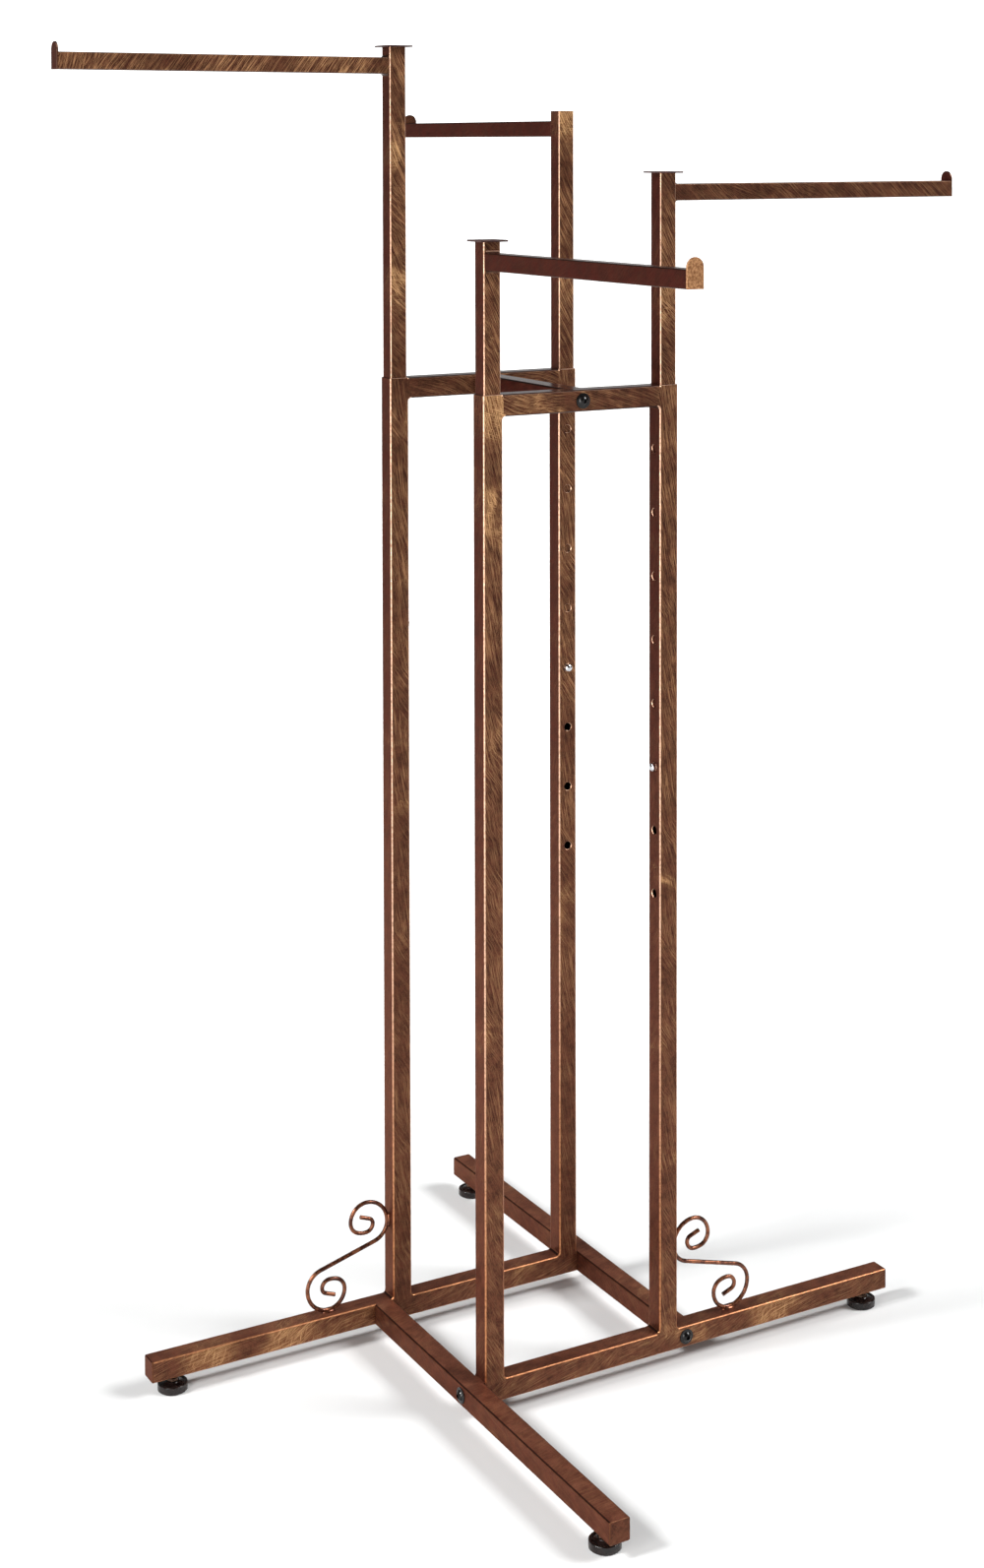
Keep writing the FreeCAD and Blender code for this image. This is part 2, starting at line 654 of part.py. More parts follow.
def arm_stop(corner):
    """The end plate of an arm: as wide as the arm, level with its underside, with a half-round top."""
    name = f"arm_stop_{corner['name']}"
    body = new_body(name)
    half, low = float(ARM) / 2, float(ARM) / -2
    shoulder = low + DIM["stop_height"].value - half
    sketch = new_sketch(body, "YZ_Plane", f"{name}_outline")
    sketch.addGeometry(
        [
            line(-half, low, half, low),
            line(half, low, half, shoulder),
            arc(0, shoulder, half, 0, 180),
            line(-half, shoulder, -half, low),
        ],
        False,
    )
    for step in range(4):
        kind = "Coincident" if step in (0, 3) else "Tangent"
        sketch.addConstraint(Sketcher.Constraint(kind, step, 2, (step + 1) % 4, 1))
    sketch.addConstraint(Sketcher.Constraint("Vertical", 1))
    sketch.addConstraint(Sketcher.Constraint("Vertical", 3))
    sketch.addConstraint(Sketcher.Constraint("Symmetric", 0, 1, 0, 2, -2))
    bound_constraint(sketch, "DistanceX", "width", ARM, 0, 1, 0, 2)
    bound_constraint(sketch, "DistanceY", "shoulder", DIM["stop_height"] - ARM / 2, 0, 2, 1, 2)
    bound_constraint(sketch, "DistanceY", "underside", ARM / 2, 0, 1, -1, 1)
    plate = pad(body, sketch, f"{name}_plate", DIM["stop_thick"])
    ease_far_edges(body, plate, name, DIM["stop_thick"])
    place_on_arm(body, corner, SLIDER / 2 + DIM["arm_length"])
    return body


def ease_far_edges(body, plate, name, thick):
    """Rounds the edges of a plate's outer face."""
    doc.recompute()
    far = [
        f"Edge{number}"
        for number, edge in enumerate(plate.Shape.Edges, start=1)
        if edge.BoundBox.XMin > float(thick) - 1e-4
    ]
    ease = body.newObject("PartDesign::Fillet", f"{name}_edges")
    ease.Base = (plate, far)
    ease.Radius = EDGE_ROUND


def place_on_arm(item, corner, reach):
    """Puts a piece on the axis of an arm, that far out from the axis of its upright."""
    x, y, z = upright_place(corner)
    ahead = turned(reach, 0, corner["turn"])
    level = z - float(DIM["arm_drop"] + ARM / 2)
    put(item, x + ahead[0], y + ahead[1], level, corner["turn"])


def top_cover(corner):
    """What closes the top of an upright: a square plate that overhangs it, or a plug let into it."""
    plate = corner["plate"]
    name = f"top_plate_{corner['name']}" if plate else f"top_plug_{corner['name']}"
    body = new_body(name)
    sketch = new_sketch(body, "XY_Plane", f"{name}_outline")
    if plate:
        rounded_square(sketch, "plate", DIM["plate_side"], DIM["plate_round"])
    else:
        rounded_square(sketch, "plug", SLIDER_BORE - BLOCK_GAP, DIM["slider_round"] - DIM["slider_wall"])
    block = pad(body, sketch, f"{name}_block", DIM["plate_thick"], backwards=not plate)
    if plate:
        doc.recompute()
        rims = [
            f"Edge{number}"
            for number, edge in enumerate(block.Shape.Edges, start=1)
            if edge.BoundBox.ZLength < 1e-4
        ]
        ease = body.newObject("PartDesign::Fillet", f"{name}_edges")
        ease.Base = (block, rims)
        ease.Radius = EDGE_ROUND
    put(body, *upright_place(corner), corner["turn"])
    return body


LEAF = 0.8              # thickness of the spring strip
LEAF_WIDTH = 10.0
LEAF_TAB = 10.0         # half the height of the flat tab that carries the button
BEND_RADIUS = 2.5       # middle of the strip at the bend
BEND_DROP = 52.0        # from the button down to the bend
REST_TOP = 6.0          # from the button down to the top of the leg on the far wall
RIVET = 2.5             # radius of the button's tail through the strip
RIVET_HEAD = 3.6        # radius of the head formed on that tail
RIVET_HEAD_THICK = 0.7
CROWN = 2.6             # height of the button's dome
BUTTON_GAP = 0.2        # radial gap round the button in the telescoping tube


def snap_spring(corner):
    """The bent strip that pushes the snap button out. Its origin is on the button's axis, on the inner
    wall the button goes through, which is at -X of the upright."""
    name = f"snap_spring_{corner['name']}"
    body = new_body(name)
    far = float(SLIDER_BORE) - LEAF / 2
    near = LEAF / 2
    centre = (far - BEND_RADIUS, -BEND_DROP)
    knee = (near, -LEAF_TAB)
    # the sloping leg is tangent to the bend: its angle from straight down
    reach = math.hypot(knee[0] - centre[0], knee[1] - centre[1])
    lean = math.atan2(centre[0] - knee[0], knee[1] - centre[1])
    lean -= math.asin(BEND_RADIUS / reach)
    out = (math.cos(lean), math.sin(lean))
    sketch = new_sketch(body, "XZ_Plane", f"{name}_profile")
    half = LEAF / 2
    outer, inner = BEND_RADIUS + half, BEND_RADIUS - half
    below = half * math.tan(lean / 2)
    start = 180 + math.degrees(lean)
    low_out = (centre[0] - outer * out[0], centre[1] - outer * out[1])
    low_in = (centre[0] - inner * out[0], centre[1] - inner * out[1])
    knee_out = (near - half, -LEAF_TAB - below)
    knee_in = (near + half, -LEAF_TAB + below)
    sketch.addGeometry(
        [
            line(near - half, LEAF_TAB, *knee_out),
            line(*knee_out, *low_out),
            arc(*centre, outer, start, 360),
            line(far + half, centre[1], far + half, -REST_TOP),
            line(far + half, -REST_TOP, far - half, -REST_TOP),
            line(far - half, -REST_TOP, far - half, centre[1]),
            arc(*centre, inner, start, 360),
            line(*low_in, *knee_in),
            line(*knee_in, near + half, LEAF_TAB),
            line(near + half, LEAF_TAB, near - half, LEAF_TAB),
        ],
        False,
    )
    pad(body, sketch, f"{name}_strip", LEAF_WIDTH, midplane=True)
    round_hole(body, f"{name}_rivet_hole", "YZ_Plane", 0, 0, (RIVET + RUNNING_FIT) * 2, 4.0, midplane=True)
    place_on_button(body, corner)
    return body


def snap_button(corner):
    """The domed snap button with its riveted tail. Its origin is where it leaves the strip, and it
    points along +Z of its own sketch, which is turned to face out of the post."""
    name = f"snap_button_{corner['name']}"
    body = new_body(name)
    radius = float(DIM["button_width"]) / 2
    gap = (BORE - SLIDER) / 2
    tall = float(DIM["slider_wall"] + gap + DIM["tube_wall"] + DIM["button_proud"])
    dome = (radius ** 2 + CROWN ** 2) / (2 * CROWN)
    half_angle = math.degrees(math.asin(radius / dome))
    tail = LEAF + RIVET_HEAD_THICK
    sketch = new_sketch(body, "XZ_Plane", f"{name}_profile")
    sketch.addGeometry(
        [
            line(0, -tail, RIVET_HEAD, -tail),
            line(RIVET_HEAD, -tail, RIVET_HEAD, -LEAF),
            line(RIVET_HEAD, -LEAF, RIVET, -LEAF),
            line(RIVET, -LEAF, RIVET, 0),
            line(RIVET, 0, radius, 0),
            line(radius, 0, radius, tall - CROWN),
            arc(0, tall - dome, dome, 90 - half_angle, 90),
            line(0, tall, 0, -tail),
        ],
        False,
    )
    revolve(body, sketch, f"{name}_turned")
    place_on_button(body, corner, FreeCAD.Rotation(FreeCAD.Vector(0, 1, 0), -90))
    return body


def place_on_button(item, corner, tilt=None):
    """Puts a piece on the button's axis, at the inner wall of the telescoping tube."""
    x, y, z = upright_place(corner)
    back = turned(SLIDER_BORE / -2, 0, corner["turn"])
    put(item, x + back[0], y + back[1], z - float(DIM["button_drop"]), corner["turn"], tilt)


# ---------------------------------------------------------------------------------------------------
# the levelling feet

FEET = [
    ("right_leg", FOOT_REACH, SPACING * -0.5),
    ("back_leg", SIDE_RAIL_OFFSET, FOOT_REACH),
    ("left_leg", FOOT_REACH * -1, SPACING / 2),
    ("front_leg", SIDE_RAIL_OFFSET * -1, FOOT_REACH * -1),
]
SOCKET_RIM = 1.5        # thickness of a foot socket's flange, under the tube
SOCKET_BRIM = 2.0       # how far that flange stands out
SOCKET_DEPTH = 11.0     # threaded length above that flange
COLLAR_LOW = 11.6       # floor to the underside of the hexagon
COLLAR_HIGH = 14.8      # floor to its top
COLLAR_WIDTH = 13.0     # across its flats
BALL_RADIUS = 5.0       # swivel end of the stud, inside the pad
BALL_HEIGHT = 6.8       # floor to the middle of that end
NECK_RADIUS = 3.0
PAD_LIP = 1.2           # rounded edges of a pad
PAD_RING = 3.2          # width of the raised ring round its top
PAD_STEP = 0.8          # down from that ring to the sloping face
HUB_RADIUS = 8.5        # top of that sloping face
CREST = 11.2            # floor to the top of the hub
MOUTH_RADIUS = 4.0      # opening that holds the ball in
STUD_TOP = 38.5         # floor to the top of the stud


def foot_sockets():
    """The four flanged threaded bushes in the undersides of the legs, all alike."""
    bushes = []
    for leg, x, y in FEET:
        name = f"socket_{leg}"
        body = new_body(name)
        inside = float(DIM["bolt_width"]) / 2 + RUNNING_FIT
        outside = float(DIM["bolt_width"]) / 2 + SOCKET_WALL
        rim = outside + SOCKET_BRIM
        sketch = new_sketch(body, "XZ_Plane", f"{name}_profile")
        sketch.addGeometry(
            [
                line(inside, -SOCKET_RIM, rim - EDGE_ROUND, -SOCKET_RIM),
                line(rim - EDGE_ROUND, -SOCKET_RIM, rim, -SOCKET_RIM + EDGE_ROUND),
                line(rim, -SOCKET_RIM + EDGE_ROUND, rim, 0),
                line(rim, 0, outside, 0),
                line(outside, 0, outside, SOCKET_DEPTH),
                line(outside, SOCKET_DEPTH, inside, SOCKET_DEPTH),
                line(inside, SOCKET_DEPTH, inside, -SOCKET_RIM),
            ],
            False,
        )
        revolve(body, sketch, f"{name}_turned")
        put(body, x, y, DIM["floor_gap"])
        bushes.append(body)
    return group("foot_sockets", bushes)


def foot_pad(leg, x, y):
    """The round black pad, with a ball seat in its middle. Origin on the floor."""
    name = f"foot_pad_{leg}"
    body = new_body(name)
    radius, height = float(DIM["pad_width"]) / 2, float(DIM["pad_height"])
    lip, ring = PAD_LIP, radius - PAD_RING
    seat = BALL_RADIUS + RUNNING_FIT
    mouth_rise = math.sqrt(seat ** 2 - MOUTH_RADIUS ** 2)
    mouth_angle = math.degrees(math.atan2(mouth_rise, MOUTH_RADIUS))
    sketch = new_sketch(body, "XZ_Plane", f"{name}_profile")
    sketch.addGeometry(
        [
            line(0, 0, radius - lip, 0),
            line(radius - lip, 0, radius, lip),
            line(radius, lip, radius, height - lip),
            arc(radius - lip, height - lip, lip, 0, 90),
            line(radius - lip, height, ring, height),
            line(ring, height, ring - PAD_STEP, height - PAD_STEP),
            line(ring - PAD_STEP, height - PAD_STEP, HUB_RADIUS, CREST - EDGE_ROUND),
            line(HUB_RADIUS, CREST - EDGE_ROUND, HUB_RADIUS - EDGE_ROUND, CREST),
            line(HUB_RADIUS - EDGE_ROUND, CREST, MOUTH_RADIUS, CREST),
            line(MOUTH_RADIUS, CREST, MOUTH_RADIUS, BALL_HEIGHT + mouth_rise),
            arc(0, BALL_HEIGHT, seat, -90, mouth_angle),
            line(0, BALL_HEIGHT - seat, 0, 0),
        ],
        False,
    )
    revolve(body, sketch, f"{name}_turned")
    put(body, x, y, 0)
    return body


def foot_stud(leg, x, y):
    """The threaded stud: a ball held in the pad, a neck, a hexagon for a spanner and the thread."""
    name = f"foot_stud_{leg}"
    body = new_body(name)
    radius = float(DIM["bolt_width"]) / 2
    rise = math.sqrt(BALL_RADIUS ** 2 - NECK_RADIUS ** 2)
    angle = math.degrees(math.atan2(rise, NECK_RADIUS))
    shoulder = (COLLAR_LOW + COLLAR_HIGH) / 2
    sketch = new_sketch(body, "XZ_Plane", f"{name}_profile")
    sketch.addGeometry(
        [
            arc(0, BALL_HEIGHT, BALL_RADIUS, -90, angle),
            line(NECK_RADIUS, BALL_HEIGHT + rise, NECK_RADIUS, shoulder),
            line(NECK_RADIUS, shoulder, radius, shoulder),
            line(radius, shoulder, radius, STUD_TOP - TIP_CHAMFER),
            line(radius, STUD_TOP - TIP_CHAMFER, radius - TIP_CHAMFER, STUD_TOP),
            line(radius - TIP_CHAMFER, STUD_TOP, 0, STUD_TOP),
            line(0, STUD_TOP, 0, BALL_HEIGHT - BALL_RADIUS),
        ],
        False,
    )
    revolve(body, sketch, f"{name}_turned")
    outline = new_sketch(body, "XY_Plane", f"{name}_hexagon_outline")
    hexagon(outline, COLLAR_WIDTH, COLLAR_LOW)
    pad(body, outline, f"{name}_hexagon", COLLAR_HIGH - COLLAR_LOW)
    put(body, x, y, 0)
    return body


# ---------------------------------------------------------------------------------------------------

def build():
    """Every node of the row, as the object to write out."""
    nodes = [post(corner) for corner in CORNERS]
    nodes.append(base_rail("base_rail_front", 0))
    nodes.append(base_rail("base_rail_back", 180))
    nodes.append(side_rail("side_rail_right", 90))
    nodes.append(side_rail("side_rail_left", 270))
    nodes.append(top_rail("top_rail_front", -1))
    nodes.append(top_rail("top_rail_back", 1))
    nodes.append(crossbar())
    end = LEG - DIM["cap_thick"]
    nodes.append(leg_cap("leg_cap_right", end, SPACING * -0.5, 0))
    nodes.append(leg_cap("leg_cap_back", SIDE_RAIL_OFFSET, end, 90))
    nodes.append(leg_cap("leg_cap_left", end * -1, SPACING / 2, 180))
    nodes.append(leg_cap("leg_cap_front", SIDE_RAIL_OFFSET * -1, end * -1, 270))
    nodes.append(frame_bolts())
    nodes.append(end_inserts())
    nodes.append(foot_sockets())
    nodes.append(scroll("scroll_right", 1))
    nodes.append(scroll("scroll_left", -1))
    for corner in CORNERS:
        for piece in (slider, arm, arm_stop, top_cover, snap_spring, snap_button):
            nodes.append(piece(corner))
    for foot in FEET:
        nodes.append(foot_pad(*foot))
        nodes.append(foot_stud(*foot))
    doc.recompute()
    return nodes


def write(nodes):
    """Checks every object, then writes one STEP file a node."""
    for item in doc.Objects:
        if {"Invalid", "Error"} & set(item.State):
            raise RuntimeError(f"{item.Label} did not build: {item.State}")
    for node in nodes:
        if node.Shape.isNull() or not node.Shape.isValid():
            raise RuntimeError(f"{node.Label} has no valid shape")
        node.Shape.exportStep(os.path.join("parts", f"{node.Label}.step"))
        box = node.Shape.BoundBox
        ends = (box.XMin, box.XMax, box.YMin, box.YMax, box.ZMin, box.ZMax)
        extent = " ".join(f"{end:8.2f}" for end in ends)
        print(f"{node.Label:28s} solids {len(node.Shape.Solids)} volume {node.Shape.Volume:10.1f}  {extent}")


write(build())
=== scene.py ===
import json
import math
from collections import namedtuple

import bmesh
import bpy
from mathutils import Matrix, Vector


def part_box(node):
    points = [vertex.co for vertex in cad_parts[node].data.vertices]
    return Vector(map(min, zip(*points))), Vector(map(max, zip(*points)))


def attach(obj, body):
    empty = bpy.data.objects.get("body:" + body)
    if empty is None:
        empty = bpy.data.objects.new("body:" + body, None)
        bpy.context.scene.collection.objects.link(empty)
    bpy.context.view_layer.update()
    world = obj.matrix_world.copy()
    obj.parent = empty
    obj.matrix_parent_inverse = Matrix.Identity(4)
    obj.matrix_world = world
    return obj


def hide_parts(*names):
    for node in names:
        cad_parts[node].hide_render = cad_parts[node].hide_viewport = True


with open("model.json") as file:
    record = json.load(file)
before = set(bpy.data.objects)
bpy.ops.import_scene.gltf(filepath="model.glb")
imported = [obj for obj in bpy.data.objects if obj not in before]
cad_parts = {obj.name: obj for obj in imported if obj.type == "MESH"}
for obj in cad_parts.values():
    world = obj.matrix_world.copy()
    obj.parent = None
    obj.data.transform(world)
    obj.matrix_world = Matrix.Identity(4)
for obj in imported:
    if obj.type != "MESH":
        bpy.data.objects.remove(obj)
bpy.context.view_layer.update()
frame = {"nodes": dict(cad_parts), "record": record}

MM = 0.001
NODES = frame["nodes"]
LEGS = ("right_leg", "back_leg", "left_leg", "front_leg")
SCENE = bpy.context.scene
SCENE.view_settings.view_transform = "Standard"
SCENE.view_settings.look = "None"


# ---------------------------------------------------------------------------------------------------
# a small helper for node materials

class Nodes:
    """Builds a node tree with short calls. A value, a colour or another node's socket can be an input."""

    def __init__(self, tree):
        self.tree = tree

    def add(self, kind, **settings):
        node = self.tree.nodes.new(kind)
        for name, value in settings.items():
            setattr(node, name, value)
        return node

    def feed(self, socket, value):
        if isinstance(value, bpy.types.NodeSocket):
            self.tree.links.new(value, socket)
        else:
            socket.default_value = value

    def math(self, operation, *values):
        node = self.add("ShaderNodeMath", operation=operation)
        for socket, value in zip(node.inputs, values):
            self.feed(socket, value)
        return node.outputs[0]

    def chain(self, operation, values):
        """One operation over all the values, from the left."""
        total = values[0]
        for value in values[1:]:
            total = self.math(operation, total, value)
        return total

    def plus(self, *values):
        return self.chain("ADD", values)

    def times(self, *values):
        return self.chain("MULTIPLY", values)

    def most(self, *values):
        return self.chain("MAXIMUM", values)

    def minus(self, a, b):
        return self.math("SUBTRACT", a, b)

    def weighed(self, start, *parts):
        """start, plus each part's value times its weight."""
        total = start
        for value, weight in parts:
            total = self.plus(total, self.times(value, weight))
        return total

    def vector(self, operation, a, b=None, scale=None):
        node = self.add("ShaderNodeVectorMath", operation=operation)
        self.feed(node.inputs[0], a)
        if b is not None:
            self.feed(node.inputs[1], b)
        if scale is not None:
            self.feed(node.inputs["Scale"], scale)
        return node.outputs["Value" if operation == "LENGTH" else "Vector"]

    def combine(self, x, y, z):
        node = self.add("ShaderNodeCombineXYZ")
        for socket, value in zip(node.inputs, (x, y, z)):
            self.feed(socket, value)
        return node.outputs[0]

    def split(self, vector):
        node = self.add("ShaderNodeSeparateXYZ")
        self.feed(node.inputs[0], vector)
        return node.outputs

    def mix(self, fraction, a, b):
        node = self.add("ShaderNodeMix", data_type="RGBA", clamp_factor=True)
        self.feed(node.inputs[0], fraction)
        self.feed(node.inputs[6], a)
        self.feed(node.inputs[7], b)
        return node.outputs[2]

    def noise_node(self, vector, scale, detail, roughness, distortion):
        node = self.add("ShaderNodeTexNoise")
        self.feed(node.inputs["Vector"], vector)
        self.feed(node.inputs["Scale"], scale)
        self.feed(node.inputs["Detail"], detail)
        self.feed(node.inputs["Roughness"], roughness)
        self.feed(node.inputs["Distortion"], distortion)
        return node

    def noise(self, vector, scale, detail=2.0, roughness=0.5, distortion=0.0):
        return self.noise_node(vector, scale, detail, roughness, distortion).outputs[0]

    def drift(self, vector, scale):
        """A smoothly wandering vector about (0.5, 0.5, 0.5)."""
        return self.noise_node(vector, scale, 1.0, 0.5, 0.0).outputs[1]

    def step(self, value, low, high, to_low=0.0, to_high=1.0):
        """Smooth step from to_low, where the value is low, to to_high, where it is high."""
        node = self.add("ShaderNodeMapRange", interpolation_type="SMOOTHSTEP")
        self.feed(node.inputs["Value"], value)
        self.feed(node.inputs["From Min"], low)
        self.feed(node.inputs["From Max"], high)
        self.feed(node.inputs["To Min"], to_low)
        self.feed(node.inputs["To Max"], to_high)
        return node.outputs["Result"]

    def bump(self, height, strength, distance):
        node = self.add("ShaderNodeBump")
        self.feed(node.inputs["Height"], height)
        self.feed(node.inputs["Strength"], strength)
        self.feed(node.inputs["Distance"], distance)
        return node.outputs[0]


def new_material(name):
    material = bpy.data.materials.new(name)
    material.use_nodes = True
    tree = material.node_tree
    tree.nodes.clear()
    nodes = Nodes(tree)
    shader = nodes.add("ShaderNodeBsdfPrincipled")
    output = nodes.add("ShaderNodeOutputMaterial")
    tree.links.new(shader.outputs[0], output.inputs[0])
    return material, nodes, shader


def rgb(red, green, blue):
    """A colour given as 0-255 screen values."""
    def linear(value):
        value /= 255
        return value / 12.92 if value <= 0.04045 else ((value + 0.055) / 1.055) ** 2.4
    return (linear(red), linear(green), linear(blue), 1.0)


# ---------------------------------------------------------------------------------------------------
# the coat: dark copper brown, brushed through to gold in hairline strokes, bare copper on the edges painted
# bright as a painted highlight, and a painted dark reflection on the edges where no copper shows

# dark and light of each tone, high up on the rack and near the floor. The plain faces are painted darker high
# up than near the floor as painted shade, and the tops near the floor lighter again as painted light.
MAROON = (rgb(54, 20, 17), rgb(78, 32, 27))
MAROON_LOW = (rgb(76, 38, 29), rgb(112, 64, 50))
MAROON_LOW_TOPS = (rgb(82, 43, 32), rgb(120, 72, 55))
BROWN = (rgb(50, 25, 17), rgb(86, 47, 34))
BROWN_LOW = (rgb(62, 32, 23), rgb(102, 59, 43))
BROWN_RUBBED = rgb(142, 92, 60)
STROKE_GOLD = rgb(186, 136, 96)
# painted glint on the strokes where the coat is rubbed
GOLD_GLINT = rgb(226, 178, 124)
# copper of the edges, painted cream bright as a painted highlight high up and dimmer near the floor
COPPER_HIGHLIGHT = rgb(238, 192, 162)
COPPER_HIGHLIGHT_LOW = rgb(210, 142, 98)
# painted dark reflection on the edges where no copper shows
DARK_REFLECTION_EDGE = rgb(24, 9, 9)
WARM_SHINE = rgb(236, 206, 194)
WHITE = (1.0, 1.0, 1.0, 1.0)

# how strongly each of these colours is laid over the coat where it is full
RUBBED_SHARE = 0.35
STROKE_SHARE = 0.80
GOLD_SHARE = 0.85
COPPER_HIGHLIGHT_SHARE = 0.85
DARK_REFLECTION_SHARE = 0.90

# heights in metres between which the look of the upper rack changes to that near the floor, with painted
# shade on the upper plain faces and painted light on the low tops
LOOK_HIGH, LOOK_LOW = 1.10, 0.20
HIGHLIGHT_HIGH, HIGHLIGHT_DOWN = 0.55, 0.10                   # the same for the copper of the edges, whose painted highlight is brighter high up

# A pattern of soft patches: waves per metre, how ragged and how twisted the noise is, and the noise values
# where a patch starts and where it is full.
Patches = namedtuple("Patches", "waves detail roughness twist start full")
RUBBED = Patches(9.0, 4.0, 0.7, 0.6, 0.55, 0.72)        # where the coat is rubbed
TURNED = Patches(13.0, 2.0, 0.5, 0.0, 0.50, 0.60)       # where the second brushing direction takes over
BUSY = Patches(16.0, 3.0, 0.65, 0.0, 0.36, 0.64)        # where there are many strokes
BLOTCH = Patches(75.0, 4.0, 0.6, 0.0, 0.35, 0.68)
SPECK = Patches(620.0, 3.0, 0.6, 0.0, 0.40, 0.62)
EDGE_WEAR = Patches(260.0, 3.0, 0.6, 0.0, 0.30, 0.62)   # where the edges are bare
BUSY_LEAST = 0.35
EDGE_WEAR_LEAST = 0.45
BLOTCH_SHARE, SPECK_SHARE = 0.6, 0.4
DRIFT_WAVES = 8.0           # how the strokes wander
RAGGED_WAVES = 60.0         # the rim of the gold places
GOLD_RIM, GOLD_CORE = 1.7, 0.9          # where that rim starts and ends, as shares of the place's size
GRAIN_WAVES = 900.0

# A kind of brush stroke: its turn from the coat's own angle in degrees, waves per metre along and across
# it, the noise values where it starts and where it is full, its strength, and a shift that sets the kinds
# apart.
Stroke = namedtuple("Stroke", "turn along across start full strength shift")
MAIN_STROKE = Stroke(0, 24.0, 980.0, 0.51, 0.62, 0.90, 0.0)
TURNED_STROKE = Stroke(24, 28.0, 980.0, 0.51, 0.62, 0.90, 5.3)
FINE_STROKE = Stroke(7, 45.0, 2300.0, 0.50, 0.64, 0.75, 3.7)
CROSS_STROKE = Stroke(62, 60.0, 1400.0, 0.58, 0.66, 1.0, 8.1)
FACES_APART = 40.0          # sets faces at different depths apart
CROSS_LEAST = 0.20          # how strong the crossing strokes are where nothing is rubbed

KEPT = 0.86                 # share of the coat that brushing leaves on the plain faces,
KEPT_LESS_LOW = 0.30        # and how much less that is near the floor
FAINTER_LOW = 0.40          # how much fainter all strokes are near the floor

# An edge shows where the surface looks less squarely along an axis than EDGE_START, and fully at EDGE_FULL.
EDGE_START, EDGE_FULL = 0.985, 0.90
ALONG_Y_START, ALONG_Y_FULL = 0.25, 0.08                # share of Y in the normal of edges along Y
UPPER_SLOPE = 0.6           # slope from which a point counts as on the upper half of such an edge
DARK_ALONG_Y, DARK_UPPER = 0.45, 0.55                     # share of those edges painted with a dark reflection, and more on that half

# how metallic the coat is, and how that changes on plain faces, on low tops and where it is worn
METAL, METAL_PLAIN, METAL_LOW_TOPS, METAL_WORN = 0.55, 0.30, -0.50, 0.42
# how rough it is, and how that changes with its blotches, its grain and wear
ROUGH, ROUGH_BLOTCH, ROUGH_GRAIN, ROUGH_WORN = 0.38, 0.10, 0.06, -0.14
RELIEF_SCRATCH, RELIEF_GRAIN = 0.6, 0.5
LACQUER, LACQUER_HIGH_TOPS = 0.03, 0.7

# A point of a box-shaped piece: u and v are its place in the plane of the nearest face, depth how deep that
# face lies and flat how square it faces (less than 1 on rounded edges). on_x is 1 on the faces that look
# along X, on_z on tops and undersides, and plain on both.
Face = namedtuple("Face", "u v depth flat on_x on_z plain")


def face_of(nodes, position, normal):
    x, y, z = nodes.split(position)
    nx, ny, nz = nodes.split(nodes.vector("ABSOLUTE", normal))
    on_x = nodes.math("GREATER_THAN", nx, nodes.most(ny, nz))
    on_z = nodes.math("GREATER_THAN", nz, nodes.most(nx, ny))
    off_x = nodes.minus(1.0, on_x)
    off_z = nodes.minus(1.0, on_z)
    on_y = nodes.minus(off_x, on_z)
    u = nodes.plus(nodes.times(x, off_x), nodes.times(y, on_x))
    v = nodes.plus(nodes.times(z, off_z), nodes.times(y, on_z))
    depth = nodes.plus(nodes.times(x, on_x), nodes.times(z, on_z), nodes.times(y, on_y))
    return Face(u, v, depth, nodes.most(nx, ny, nz), on_x, on_z, nodes.most(on_x, on_z))


def patches(nodes, position, kind, least=0.0, most=1.0):
    """A pattern of soft patches. Its value is most inside them and least between them."""
    noise = nodes.noise(position, kind.waves, kind.detail, kind.roughness, kind.twist)
    return nodes.step(noise, kind.start, kind.full, least, most)


def waved(nodes, face, position, wander):
    """The same face with its plane pushed about, so that strokes on it are not dead straight."""
    drift = nodes.vector("SUBTRACT", nodes.drift(position, DRIFT_WAVES), (0.5, 0.5, 0.5))
    x, _, z = nodes.split(nodes.vector("SCALE", drift, scale=wander))
    return face._replace(u=nodes.plus(face.u, x), v=nodes.plus(face.v, z))


def strokes(nodes, face, angle, kind):
    """Noise drawn out along one direction and cut to thin lines."""
    turn = math.radians(angle + kind.turn)
    cosine, sine = math.cos(turn), math.sin(turn)
    run = nodes.plus(nodes.times(face.u, cosine), nodes.times(face.v, sine))
    rise = nodes.minus(nodes.times(face.v, cosine), nodes.times(face.u, sine))
    place = nodes.combine(
        nodes.times(run, kind.along),
        nodes.times(rise, kind.across),
        nodes.plus(nodes.times(face.depth, FACES_APART), kind.shift),
    )
    lines = nodes.noise(place, scale=1.0, detail=2.0, roughness=0.6)
    return nodes.step(lines, kind.start, kind.full, 0.0, kind.strength)


def rubbed_through(nodes, position, gold_at, gold_size):
    """Where the coat is rubbed through to gold: in patches all over, and round the given places."""
    rubbed = patches(nodes, position, RUBBED)
    for place in gold_at:
        away = nodes.vector("LENGTH", nodes.vector("SUBTRACT", position, place))
        ragged = nodes.weighed(away, (nodes.noise(position, RAGGED_WAVES, detail=3.0), gold_size))
        rubbed = nodes.most(rubbed, nodes.step(ragged, gold_size * GOLD_RIM, gold_size * GOLD_CORE))
    return rubbed


